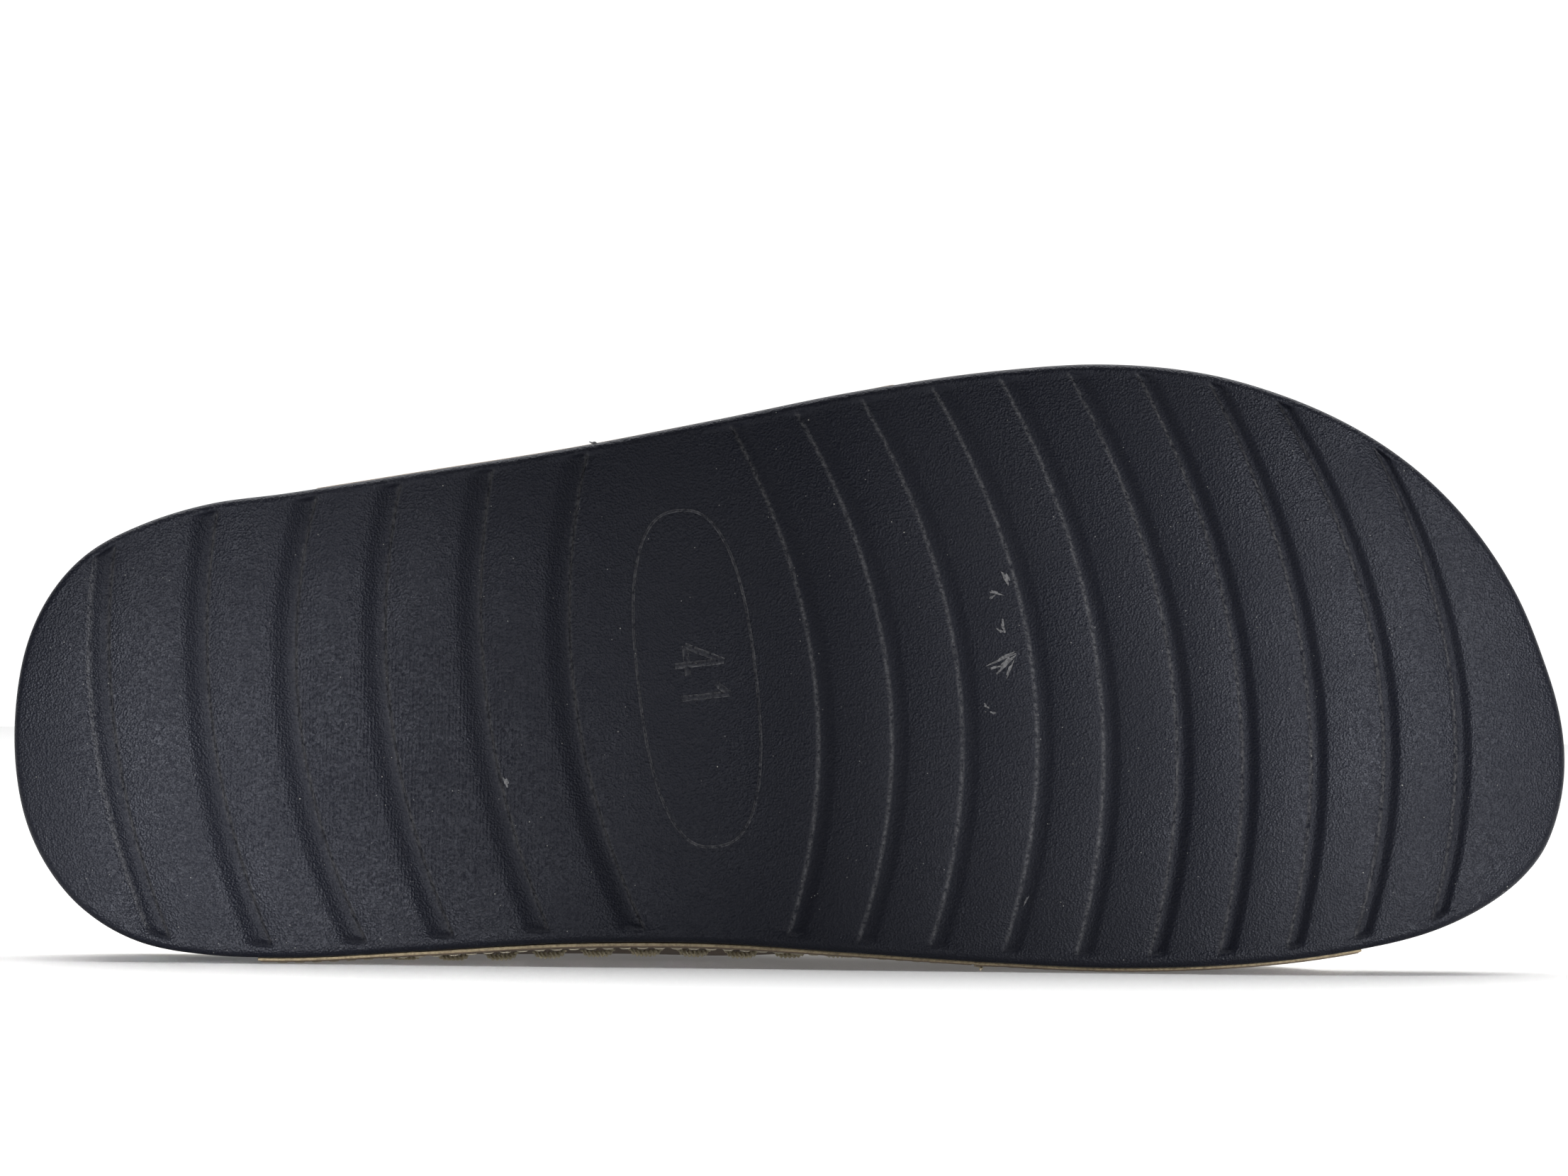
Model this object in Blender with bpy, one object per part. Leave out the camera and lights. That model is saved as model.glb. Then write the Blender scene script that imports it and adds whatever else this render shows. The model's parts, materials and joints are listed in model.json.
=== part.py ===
"""Cross-strap slipper for the right foot, lying on its medial side.

Three pieces: the moulded outsole, the footbed and the crossed leather straps.
The shoe is worked out standing (x towards the toe, y towards the medial side,
z up from the ground), then laid on the side it rests on.
"""
import math
from collections import namedtuple

import bmesh
import bpy
import numpy as np
from mathutils import Matrix, Vector

# Outsole
SOLE_LENGTH = 0.272
BALL_WIDTH = 0.1057
HEEL_THICKNESS = 0.026
TOE_SPRING = 0.012
ARCH_LIFT = 0.0015
HEEL_BEVEL = 0.0012
TREAD_EDGE_RADIUS = 0.002
SEAT_DEPTH = 0.0030
BARE_SIDE_FLARE = math.radians(1.5)
SEAT_MARGIN = 0.006
SEAT_RUN_OUT = 0.006
TOP_EDGE_ROUND = 0.0014

# Tread grooves
GROOVE_DEPTH = 0.0013
HEEL_GROOVE_WIDTH = 0.0040
FOREFOOT_GROOVE_WIDTH = 0.0029
GROOVE_WALL_WIDTH = 0.0004
SMOOTH_RIM = 0.0012
GROOVE_RUN_OUT = 0.0030

# Footbed
FOOTBED_THICKNESS = 0.0045
FOOTBED_EDGE_ROUND = 0.0010
HEEL_CUP = 0.0025
ARCH_SUPPORT = 0.0035

# Straps
LEATHER = 0.0014
SKIVED_EDGE = 0.0009
PIECE_GAP = 0.0004
CUT_EDGE_HEIGHT = 0.0035
INSTEP_HEIGHT = 0.070
ARCH_FLARE = 0.0052
RIDGE_SHIFT = 0.004
OVERLAP_RAMP = 0.005

# Density of each piece, used to find how the shoe balances (kg per cubic metre)
SOLE_DENSITY = 1200.0
FOOTBED_DENSITY = 900.0
STRAP_DENSITY = 900.0

# Where the heel bevel, the arch and the toe spring lie, as shares of the sole's length
BEVEL_END_SHARE = 0.07
ARCH_START_SHARE = 0.34
ARCH_END_SHARE = 0.56
SPRING_START_SHARE = 0.76

# Edge of the tread: distance to each side of the length line
OutlineRow = namedtuple("OutlineRow", "length_share lateral_share medial_share")
OUTLINE = [
    OutlineRow(0.000, -0.113, 0.113),
    OutlineRow(0.007, 0.030, 0.248),
    OutlineRow(0.021, 0.113, 0.328),
    OutlineRow(0.044, 0.182, 0.399),
    OutlineRow(0.081, 0.235, 0.455),
    OutlineRow(0.127, 0.271, 0.477),
    OutlineRow(0.173, 0.287, 0.481),
    OutlineRow(0.264, 0.324, 0.470),
    OutlineRow(0.356, 0.362, 0.457),
    OutlineRow(0.448, 0.409, 0.457),
    OutlineRow(0.540, 0.456, 0.474),
    OutlineRow(0.632, 0.491, 0.490),
    OutlineRow(0.700, 0.502, 0.498),
    OutlineRow(0.769, 0.485, 0.495),
    OutlineRow(0.815, 0.452, 0.486),
    OutlineRow(0.861, 0.401, 0.469),
    OutlineRow(0.907, 0.322, 0.441),
    OutlineRow(0.953, 0.192, 0.384),
    OutlineRow(0.971, 0.114, 0.347),
    OutlineRow(0.987, 0.013, 0.294),
    OutlineRow(0.996, -0.063, 0.232),
    OutlineRow(1.000, -0.150, 0.150),
]

# Sharp edge of each groove, where it meets the lateral rim, the middle and the medial rim
Groove = namedtuple("Groove", "lateral_share middle_share medial_share")
HEEL_GROOVES = [
    Groove(0.054, 0.056, 0.094),
    Groove(0.120, 0.121, 0.162),
    Groove(0.185, 0.179, 0.225),
    Groove(0.243, 0.240, 0.285),
    Groove(0.305, 0.306, 0.347),
    Groove(0.368, 0.362, 0.405),
]
FOREFOOT_GROOVES = [
    Groove(0.465, 0.518, 0.502),
    Groove(0.505, 0.564, 0.547),
    Groove(0.549, 0.610, 0.592),
    Groove(0.595, 0.658, 0.639),
    Groove(0.640, 0.702, 0.687),
    Groove(0.682, 0.749, 0.734),
    Groove(0.725, 0.789, 0.779),
    Groove(0.771, 0.835, 0.823),
    Groove(0.814, 0.882, 0.867),
    Groove(0.878, 0.931, 0.918),
]

# Where the rounded ends of the sole begin on each side
SoleEnd = namedtuple("SoleEnd", "lateral_share medial_share")
HEEL_END = SoleEnd(0.024, 0.046)
TOE_END = SoleEnd(0.945, 0.978)

# Thickness of the outsole along its length
ThicknessRow = namedtuple("ThicknessRow", "length_share thickness_share")
THICKNESS = [
    ThicknessRow(0.00, 1.00),
    ThicknessRow(0.22, 1.00),
    ThicknessRow(0.42, 0.86),
    ThicknessRow(0.62, 0.67),
    ThicknessRow(0.80, 0.62),
    ThicknessRow(1.00, 0.52),
]

# Height of the inside of the straps above the outsole, along the shoe
CrownRow = namedtuple("CrownRow", "length_share height_share")
CROWN = [
    CrownRow(0.10, 1.25),
    CrownRow(0.30, 1.12),
    CrownRow(0.45, 1.00),
    CrownRow(0.55, 0.86),
    CrownRow(0.65, 0.70),
    CrownRow(0.72, 0.61),
    CrownRow(0.80, 0.53),
    CrownRow(0.90, 0.45),
]

# Edges of both straps, from the medial cut edge (0) over the instep (0.5) to the lateral one (1).
# The under strap runs from the medial heel to the lateral toes, the over strap crosses it.
StrapRow = namedtuple("StrapRow", "over_share under_rear under_front over_rear over_front")
STRAPS = [
    StrapRow(0.000, 0.157, 0.617, 0.617, 0.866),
    StrapRow(0.130, 0.168, 0.632, 0.604, 0.850),
    StrapRow(0.250, 0.262, 0.648, 0.560, 0.812),
    StrapRow(0.380, 0.375, 0.670, 0.500, 0.756),
    StrapRow(0.500, 0.452, 0.712, 0.452, 0.712),
    StrapRow(0.620, 0.490, 0.742, 0.385, 0.662),
    StrapRow(0.750, 0.525, 0.778, 0.290, 0.622),
    StrapRow(0.870, 0.552, 0.806, 0.206, 0.592),
    StrapRow(1.000, 0.567, 0.815, 0.192, 0.567),
]

# Share of a strap's way round that lies against the side of the sole
SIDE_SHARE = 0.13
# How square the straps' section is: 2 is an ellipse
SECTION_POWER = 2.05
# Where the over strap starts to rise over the under strap, and where it is fully over it
COVER_START_SHARE = 0.02
COVER_FULL_SHARE = 0.28
# Where the straps bulge most over the medial arch, and how far that spreads
FLARE_PLACE_SHARE = 0.45
FLARE_SPREAD_SHARE = 0.13

SOLE_COLUMNS = 12
FOOTBED_ROWS = 24
FOOTBED_COLUMNS = 7
STRAP_ROWS = 38
UNDER_COLUMNS = 6
OVER_COLUMNS = 10

SMALL_ANGLE = 1e-3
SMALL_SHARE = 1e-4

Material = namedtuple("Material", "name colour roughness")
SOLE_RUBBER = Material("black sole rubber", (0.028, 0.029, 0.036, 1.0), 0.50)
FOOTBED_LEATHER = Material("tan footbed leather", (0.42, 0.30, 0.19, 1.0), 0.65)
STRAP_LEATHER = Material("brown strap leather", (0.20, 0.145, 0.105, 1.0), 0.55)


def eased(share):
    """Rise from 0 to 1 with a soft start and a soft end."""
    held = min(max(share, 0.0), 1.0)
    return held * held * (3.0 - 2.0 * held)


def curve_through(places, values, place):
    """Smooth curve through the values at rising places, read at one place."""
    slopes = np.gradient(values, places)
    last = len(places) - 2
    index = min(max(int(np.searchsorted(places, place, side="right")) - 1, 0), last)
    width = places[index + 1] - places[index]
    share = (place - places[index]) / width
    square, cube = share * share, share ** 3
    return (
        (2 * cube - 3 * square + 1) * values[index]
        + (cube - 2 * square + share) * width * slopes[index]
        + (3 * square - 2 * cube) * values[index + 1]
        + (cube - square) * width * slopes[index + 1]
    )


def column_of(table, name):
    return np.array([getattr(row, name) for row in table])


def turn_at(length_share):
    """Angle round the outline, 0 at the heel and pi at the toe."""
    return math.acos(1.0 - 2.0 * length_share)


def outline_loop():
    """Angles round the tread, lateral ones negative, and the side distance at each."""
    turns = [turn_at(row.length_share) for row in OUTLINE]
    lateral = [(-turn, -row.lateral_share) for turn, row in zip(turns, OUTLINE)]
    medial = [(turn, row.medial_share) for turn, row in zip(turns, OUTLINE)]
    once = lateral[::-1][:-1] + medial[:-1]
    before = [(turn - 2 * math.pi, side) for turn, side in once[-3:]]
    after = [(turn + 2 * math.pi, side) for turn, side in once[:4]]
    loop = np.array(before + once + after)
    return loop[:, 0], loop[:, 1] * BALL_WIDTH


LOOP_TURNS, LOOP_SIDES = outline_loop()


def outline_point(turn, inset=0.0):
    """Point of the tread edge, moved inwards at right angles to the edge."""
    wrapped = (turn + math.pi) % (2 * math.pi) - math.pi

    def raw(angle):
        side = curve_through(LOOP_TURNS, LOOP_SIDES, angle)
        return np.array([SOLE_LENGTH * (1.0 - math.cos(angle)) / 2.0, side])

    along = raw(wrapped + SMALL_ANGLE) - raw(wrapped - SMALL_ANGLE)
    outward = np.array([-along[1], along[0]]) / np.linalg.norm(along)
    return raw(wrapped) - inset * outward


def toe_rise(x):
    return TOE_SPRING * max(0.0, (x / SOLE_LENGTH - SPRING_START_SHARE) / (1.0 - SPRING_START_SHARE)) ** 2


def ground_lift(x):
    """Height of the tread above the ground: heel bevel, arch and toe spring."""
    share = x / SOLE_LENGTH
    heel = HEEL_BEVEL * max(0.0, 1.0 - share / BEVEL_END_SHARE) ** 2
    past_heel = min(max((share - ARCH_START_SHARE) / (ARCH_END_SHARE - ARCH_START_SHARE), 0.0), 1.0)
    arch = ARCH_LIFT * math.sin(math.pi * past_heel) ** 2
    return heel + arch + toe_rise(x)


def sole_thickness(x):
    places = column_of(THICKNESS, "length_share")
    values = column_of(THICKNESS, "thickness_share")
    return HEEL_THICKNESS * curve_through(places, values, x / SOLE_LENGTH)


def sole_top(x):
    return toe_rise(x) + sole_thickness(x)


def seat_share(x, side):
    """1 where a strap lies against the side of the sole, 0 where the side is bare."""
    base = STRAPS[0] if side > 0.0 else STRAPS[-1]
    rear = min(base.under_rear, base.over_rear) * SOLE_LENGTH - SEAT_MARGIN
    front = max(base.under_front, base.over_front) * SOLE_LENGTH + SEAT_MARGIN
    past_rear = eased((x - rear) / SEAT_RUN_OUT + 1.0)
    past_front = eased((front - x) / SEAT_RUN_OUT + 1.0)
    return past_rear * past_front


def seat_inset(x, z):
    """How far the side of the sole has drawn in at a height, where it seats a strap."""
    foot = ground_lift(x) + TREAD_EDGE_RADIUS
    return SEAT_DEPTH * max(0.0, z - foot) / (sole_top(x) - foot)


def top_inset(point):
    """How far the top of the sole lies inside the tread edge: outside it where the side is bare."""
    seat = seat_share(point[0], point[1])
    flare = math.tan(BARE_SIDE_FLARE) * sole_thickness(point[0])
    return seat * SEAT_DEPTH - (1.0 - seat) * flare


# Rows across the sole
Row = namedtuple("Row", "lateral_share medial_share bulge wrap depth")


def groove_rows(groove, towards):
    """Rows of one groove: a steep wall on the arch side and a slope on the far side."""
    width = (HEEL_GROOVE_WIDTH if towards < 0 else FOREFOOT_GROOVE_WIDTH) / SOLE_LENGTH
    wall = GROOVE_WALL_WIDTH / SOLE_LENGTH
    bulge = groove.middle_share - (groove.lateral_share + groove.medial_share) / 2.0
    steps = [(0.0, 0.0), (wall, 1.0), (width / 2.0, 0.5), (width, 0.0)]
    rows = [
        Row(groove.lateral_share + towards * away, groove.medial_share + towards * away, bulge, 0.0, depth)
        for away, depth in steps
    ]
    return rows if towards > 0 else rows[::-1]


def between(first, second, share):
    values = [a + (b - a) * share for a, b in zip(first, second)]
    return Row(*values[:4], 0.0)


def sole_rows():
    heel_end = Row(*HEEL_END, 0.0, 1.0, 0.0)
    toe_end = Row(*TOE_END, 0.0, 1.0, 0.0)
    heel = [row for groove in HEEL_GROOVES for row in groove_rows(groove, -1)]
    forefoot = [row for groove in FOREFOOT_GROOVES for row in groove_rows(groove, 1)]
    arch = [between(heel[-1], forefoot[0], share) for share in (0.25, 0.5, 0.75)]
    toe = [between(forefoot[-1], toe_end, share) for share in (0.25, 0.5, 0.75)]
    return [heel_end, between(heel_end, heel[0], 0.5)] + heel + arch + forefoot + toe + [toe_end]


def footbed_rows():
    heel_end = Row(*HEEL_END, 0.0, 1.0, 0.0)
    toe_end = Row(*TOE_END, 0.0, 1.0, 0.0)
    waist = Row(0.45, 0.46, 0.0, 0.0, 0.0)
    half = FOOTBED_ROWS // 2
    heel = [between(heel_end, waist, step / half) for step in range(half)]
    forefoot = [between(waist, toe_end, step / half) for step in range(half + 1)]
    return heel + forefoot


def end_arc(end, share, inset):
    """Point of the rounded heel or toe, from the lateral to the medial side."""
    start, stop = -turn_at(end.lateral_share), turn_at(end.medial_share)
    if end is TOE_END:
        stop -= 2 * math.pi
    return outline_point(start + (stop - start) * share, inset)


def row_points(row, inset, shares):
    """Points across the sole, from the lateral edge to the medial edge."""
    start = outline_point(-turn_at(row.lateral_share), inset)
    stop = outline_point(turn_at(row.medial_share), inset)
    end = HEEL_END if row.lateral_share < 0.5 else TOE_END
    end_start, end_stop = end_arc(end, 0.0, inset), end_arc(end, 1.0, inset)
    points = []
    for share in shares:
        point = start + (stop - start) * share
        bow = np.array([4.0 * share * (1.0 - share) * row.bulge * SOLE_LENGTH, 0.0])
        if row.wrap > 0.0:
            round_bow = end_arc(end, share, inset) - end_start - (end_stop - end_start) * share
            bow = (1.0 - row.wrap) * bow + row.wrap * round_bow
        points.append(point + bow)
    return points


def column_shares(row, inset):
    """Places across a row, closer near the rims where a groove runs out."""
    start = outline_point(-turn_at(row.lateral_share), inset)
    stop = outline_point(turn_at(row.medial_share), inset)
    width = np.linalg.norm(stop - start)
    rim = SMOOTH_RIM / width
    full = (SMOOTH_RIM + GROOVE_RUN_OUT) / width
    middle = [full + (1.0 - 2.0 * full) * step / SOLE_COLUMNS for step in range(SOLE_COLUMNS + 1)]
    return [0.0, rim] + middle + [1.0 - rim, 1.0]


def perimeter(grid):
    """Border of a grid, once round."""
    rows, columns = len(grid), len(grid[0])
    border = [grid[0][column] for column in range(columns)]
    border += [grid[row][columns - 1] for row in range(1, rows)]
    border += [grid[rows - 1][column] for column in range(columns - 2, -1, -1)]
    border += [grid[row][0] for row in range(rows - 2, 0, -1)]
    return border


def add_mesh(name, points, faces, material):
    mesh = bpy.data.meshes.new(name)
    mesh.from_pydata([tuple(point) for point in points], [], faces)
    piece = bpy.data.objects.new(name, mesh)
    bpy.context.collection.objects.link(piece)
    mesh.materials.append(make_material(material))
    shape = bmesh.new()
    shape.from_mesh(mesh)
    bmesh.ops.recalc_face_normals(shape, faces=shape.faces[:])
    bmesh.ops.triangulate(shape, faces=shape.faces[:])
    shape.to_mesh(mesh)
    shape.free()
    return piece


def make_material(material):
    made = bpy.data.materials.new(material.name)
    made.use_nodes = True
    shader = made.node_tree.nodes["Principled BSDF"]
    shader.inputs["Base Color"].default_value = material.colour
    shader.inputs["Roughness"].default_value = material.roughness
    made.diffuse_color = material.colour
    return made


def slab(name, bottom, walls, top, material):
    """Closed piece from a bottom grid, a top grid and the rings of its side wall."""
    points, grids = [], []
    for grid in (bottom, top):
        numbered = []
        for row in grid:
            numbered.append([len(points) + place for place in range(len(row))])
            points.extend(row)
        grids.append(numbered)
    rings = [perimeter(grids[0])]
    for wall in walls:
        rings.append([len(points) + place for place in range(len(wall))])
        points.extend(wall)
    rings.append(perimeter(grids[1]))
    faces = []
    for grid in grids:
        for near, far in zip(grid, grid[1:]):
            for column in range(len(near) - 1):
                faces.append((near[column], near[column + 1], far[column + 1], far[column]))
    for lower, upper in zip(rings, rings[1:]):
        for place in range(len(lower)):
            after = (place + 1) % len(lower)
            faces.append((lower[place], lower[after], upper[after], upper[place]))
    return add_mesh(name, points, faces, material)


def raised(points, height):
    return [np.array([point[0], point[1], height(point[0])]) for point in points]


def wall_ring(rows, shares, inset, height):
    """Ring round the sole at an inset that may change with the place."""
    flat = perimeter([row_points(row, 0.0, share) for row, share in zip(rows, shares)])
    amounts = [inset(point) for point in flat]
    low, high = min(amounts), max(amounts)
    near = perimeter([row_points(row, low, share) for row, share in zip(rows, shares)])
    far = perimeter([row_points(row, high, share) for row, share in zip(rows, shares)])
    ring = []
    for amount, first, second in zip(amounts, near, far):
        share = (amount - low) / (high - low) if high > low else 0.0
        point = first + (second - first) * share
        ring.append(np.array([point[0], point[1], height(point[0])]))
    return ring


def grid_inside(rows, shares, ring, height):
    """Grid whose border is a ring; its inside follows the rows."""
    flat = [row_points(row, 0.0, share) for row, share in zip(rows, shares)]
    count, columns = len(rows), len(shares[0])
    numbered = perimeter([[(row, column) for column in range(columns)] for row in range(count)])
    border = {place: ring[index] for index, place in enumerate(numbered)}
    grid = []
    for row in range(count):
        first, last = flat[row][0], flat[row][-1]
        held_first, held_last = border[(row, 0)], border[(row, columns - 1)]
        line = []
        for column in range(columns):
            if (row, column) in border:
                line.append(border[(row, column)])
                continue
            share = shares[row][column]
            shift = (held_first[:2] - first) * (1.0 - share) + (held_last[:2] - last) * share
            point = flat[row][column] + shift
            line.append(np.array([point[0], point[1], height(point[0])]))
        grid.append(line)
    return grid


def make_outsole():
    rows = sole_rows()
    shares = [column_shares(row, TREAD_EDGE_RADIUS) for row in rows]
    tread = []
    for row, share in zip(rows, shares):
        line = raised(row_points(row, TREAD_EDGE_RADIUS, share), ground_lift)
        for point in line[2:-2]:
            point[2] += row.depth * GROOVE_DEPTH
        tread.append(line)
    corner = TREAD_EDGE_RADIUS * (1.0 - math.sqrt(0.5))
    walls = [
        wall_ring(rows, shares, lambda point: corner, lambda x: ground_lift(x) + corner),
        wall_ring(rows, shares, lambda point: 0.0, lambda x: ground_lift(x) + TREAD_EDGE_RADIUS),
        wall_ring(rows, shares, top_inset, lambda x: sole_top(x) - TOP_EDGE_ROUND),
    ]
    rim = wall_ring(rows, shares, lambda point: top_inset(point) + TOP_EDGE_ROUND, sole_top)
    top = grid_inside(rows, shares, rim, sole_top)
    return slab("outsole", tread, walls, top, SOLE_RUBBER)


def footbed_rise(x, across):
    """Extra height of the footbed: the heel cup and the medial arch support."""
    share = x / SOLE_LENGTH
    edge = abs(2.0 * across - 1.0) ** 3
    cup = HEEL_CUP * edge * eased((0.50 - share) / 0.30)
    arch = ARCH_SUPPORT * eased((across - 0.55) / 0.45) * math.exp(-((share - 0.42) / 0.13) ** 2)
    return cup + arch


def make_footbed():
    rows = footbed_rows()
    shares = [[step / FOOTBED_COLUMNS for step in range(FOOTBED_COLUMNS + 1)] for _ in rows]
    setback = SEAT_DEPTH + TOP_EDGE_ROUND

    def under(x):
        return sole_top(x) + PIECE_GAP

    def over(x):
        return under(x) + FOOTBED_THICKNESS

    low_ring = wall_ring(rows, shares, lambda point: setback, under)
    side_ring = wall_ring(rows, shares, lambda point: setback, lambda x: over(x) - FOOTBED_EDGE_ROUND)
    high_ring = wall_ring(rows, shares, lambda point: setback + FOOTBED_EDGE_ROUND, over)
    bottom = grid_inside(rows, shares, low_ring, under)
    top = grid_inside(rows, shares, high_ring, over)
    sides = perimeter([list(share) for share in shares])
    for line, share in zip(top, shares):
        for point, across in zip(line, share):
            point[2] += footbed_rise(point[0], across)
    for point, across in zip(side_ring, sides):
        point[2] += footbed_rise(point[0], across)
    return slab("insole", bottom, [side_ring], top, FOOTBED_LEATHER)


def crown_height(length_share):
    places = column_of(CROWN, "length_share")
    values = column_of(CROWN, "height_share")
    return INSTEP_HEIGHT * curve_through(places, values, length_share)


def side_point(length_share, side, rise):
    """Point against the side of the sole: side is 1 on the medial side, -1 on the lateral."""
    x = length_share * SOLE_LENGTH
    low = ground_lift(x) + CUT_EDGE_HEIGHT
    z = low + (sole_top(x) - low) * rise
    edge = outline_point(side * turn_at(length_share))
    y = edge[1] - side * (seat_inset(x, z) - PIECE_GAP)
    return np.array([x, y, z])


def strap_surface(length_share, over_share):
    """Inside face of the straps: up one side of the sole, over the foot, down the other."""
    if over_share < SIDE_SHARE:
        return side_point(length_share, 1.0, over_share / SIDE_SHARE)
    if over_share > 1.0 - SIDE_SHARE:
        return side_point(length_share, -1.0, (1.0 - over_share) / SIDE_SHARE)
    medial = side_point(length_share, 1.0, 1.0)
    lateral = side_point(length_share, -1.0, 1.0)
    angle = math.pi * (over_share - SIDE_SHARE) / (1.0 - 2.0 * SIDE_SHARE)
    power = 2.0 / SECTION_POWER
    reach = math.copysign(abs(math.cos(angle)) ** power, math.cos(angle))
    rise = math.sin(angle) ** power
    centre = (medial + lateral) / 2.0
    half = (medial[1] - lateral[1]) / 2.0
    flare = ARCH_FLARE * math.exp(-((length_share - FLARE_PLACE_SHARE) / FLARE_SPREAD_SHARE) ** 2)
    bulge = flare * 3.0 * math.sin(angle) * max(0.0, math.cos(angle)) ** 3
    y = centre[1] + half * reach + RIDGE_SHIFT * rise * rise + bulge
    return np.array([centre[0], y, centre[2] + crown_height(length_share) * rise])


def strap_point(length_share, over_share, out):
    """Point a distance outside the inside face of the straps."""
    place = strap_surface(length_share, over_share)
    if out == 0.0:
        return place
    ahead = strap_surface(length_share + SMALL_SHARE, over_share)
    behind = strap_surface(length_share - SMALL_SHARE, over_share)
    later = strap_surface(length_share, min(over_share + SMALL_SHARE, 1.0))
    sooner = strap_surface(length_share, max(over_share - SMALL_SHARE, 0.0))
    normal = np.cross(later - sooner, ahead - behind)
    return place + out * normal / np.linalg.norm(normal)


def strap_edges(over_share):
    """All four strap edges at one place on the way round."""
    places = column_of(STRAPS, "over_share")
    names = ("under_rear", "under_front", "over_rear", "over_front")
    return [curve_through(places, column_of(STRAPS, name), over_share) for name in names]


def leather_at(over_share):
    """Thickness of one strap, skived thin at both cut edges."""
    rise = eased(min(over_share, 1.0 - over_share) / SIDE_SHARE)
    return SKIVED_EDGE + (LEATHER - SKIVED_EDGE) * rise


def over_strap_height(length_share, over_share):
    """Height of the over strap's face: two leathers where it covers the under strap."""
    under_rear, under_front, _, _ = strap_edges(over_share)
    ramp = OVERLAP_RAMP / SOLE_LENGTH
    if over_share < 0.5:
        past = (length_share - under_front) / ramp
    else:
        past = (under_rear - length_share) / ramp
    near_edge = min(over_share, 1.0 - over_share)
    rise = eased((near_edge - COVER_START_SHARE) / (COVER_FULL_SHARE - COVER_START_SHARE))
    cover = (1.0 - eased(past)) * rise
    return leather_at(over_share) * (1.0 + cover)


def evenly(start, stop, count):
    return [start + (stop - start) * step / count for step in range(count + 1)]


def strap_ring(over_share):
    """Points round both straps at one place: inside from rear to front, outside back again."""
    under_rear, under_front, over_rear, over_front = strap_edges(over_share)
    medial_half, lateral_half = over_share <= 0.5, over_share >= 0.5
    rear_part = evenly(under_rear if medial_half else over_rear, over_rear, UNDER_COLUMNS)
    middle_part = evenly(over_rear, over_front, OVER_COLUMNS)
    front_part = evenly(over_front, under_front if lateral_half else over_front, UNDER_COLUMNS)
    inside = [strap_point(share, over_share, 0.0) for share in rear_part + middle_part[1:] + front_part[1:]]
    single = leather_at(over_share)
    outside = [strap_point(share, over_share, single if medial_half else 0.0) for share in rear_part]
    outside += [
        strap_point(share, over_share, over_strap_height(share, over_share)) for share in middle_part
    ]
    outside += [strap_point(share, over_share, single if lateral_half else 0.0) for share in front_part]
    return inside, outside


def welded(points, faces):
    """Join points that coincide and leave out the faces that vanish."""
    numbers, kept, renamed = {}, [], []
    for point in points:
        key = tuple(round(float(value), 7) for value in point)
        if key not in numbers:
            numbers[key] = len(kept)
            kept.append(point)
        renamed.append(numbers[key])
    whole = []
    for face in faces:
        corners = [renamed[corner] for corner in face]
        distinct = [corner for place, corner in enumerate(corners) if corner != corners[place - 1]]
        if len(set(distinct)) == len(distinct) and len(distinct) > 2:
            whole.append(distinct)
    return kept, whole


def cap_faces(inside, outside):
    """Faces of a cut edge, where the outside has two more points than the inside."""
    rear, middle = UNDER_COLUMNS, UNDER_COLUMNS + OVER_COLUMNS
    faces = []
    for column in range(len(inside) - 1):
        skipped = (column >= rear) + (column >= middle)
        near, far = outside[column + skipped], outside[column + 1 + skipped]
        faces.append((inside[column], inside[column + 1], far, near))
    return faces


def make_upper():
    points, rings = [], []
    for step in range(STRAP_ROWS + 1):
        inside, outside = strap_ring(step / STRAP_ROWS)
        start = len(points)
        points.extend(inside + outside)
        numbers = list(range(start, len(points)))
        rings.append((numbers[:len(inside)], numbers[len(inside):]))
    faces = []
    for near, far in zip(rings, rings[1:]):
        near_loop, far_loop = near[0] + near[1][::-1], far[0] + far[1][::-1]
        for place in range(len(near_loop)):
            after = (place + 1) % len(near_loop)
            faces.append((near_loop[place], near_loop[after], far_loop[after], far_loop[place]))
    faces += cap_faces(*rings[0]) + cap_faces(*rings[-1])
    points, faces = welded(points, faces)
    return add_mesh("upper", points, faces, STRAP_LEATHER)


def volume_and_centre(mesh):
    """Volume of a closed triangle mesh and its centre."""
    volume, moment = 0.0, Vector((0.0, 0.0, 0.0))
    for face in mesh.polygons:
        a, b, c = (mesh.vertices[corner].co for corner in face.vertices)
        share = a.dot(b.cross(c)) / 6.0
        volume += share
        moment += share * (a + b + c) / 4.0
    return volume, moment / volume


def balance_point(densities):
    mass, moment = 0.0, Vector((0.0, 0.0, 0.0))
    for piece, density in densities:
        volume, centre = volume_and_centre(piece.data)
        mass += density * volume
        moment += density * volume * centre
    return moment / mass


def resting_direction(pieces, centre):
    """Direction that points down when the shoe lies still on its medial side."""
    hull = bmesh.new()
    for piece in pieces:
        for vertex in piece.data.vertices:
            hull.verts.new(vertex.co)
    bmesh.ops.convex_hull(hull, input=hull.verts[:], use_existing_faces=False)
    bmesh.ops.triangulate(hull, faces=hull.faces[:])
    best, lowest = Vector((0.0, 1.0, 0.0)), math.inf
    for face in hull.faces:
        corners = [vertex.co for vertex in face.verts]
        down = (corners[1] - corners[0]).cross(corners[2] - corners[0])
        if down.length < 1e-12:
            continue
        down.normalize()
        if down.dot(corners[0] - centre) < 0.0:
            down.negate()
        height = down.dot(corners[0] - centre)
        if down.y > 0.8 and height < lowest and stands_over(corners, centre, down):
            best, lowest = down.copy(), height
    hull.free()
    return best


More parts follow.
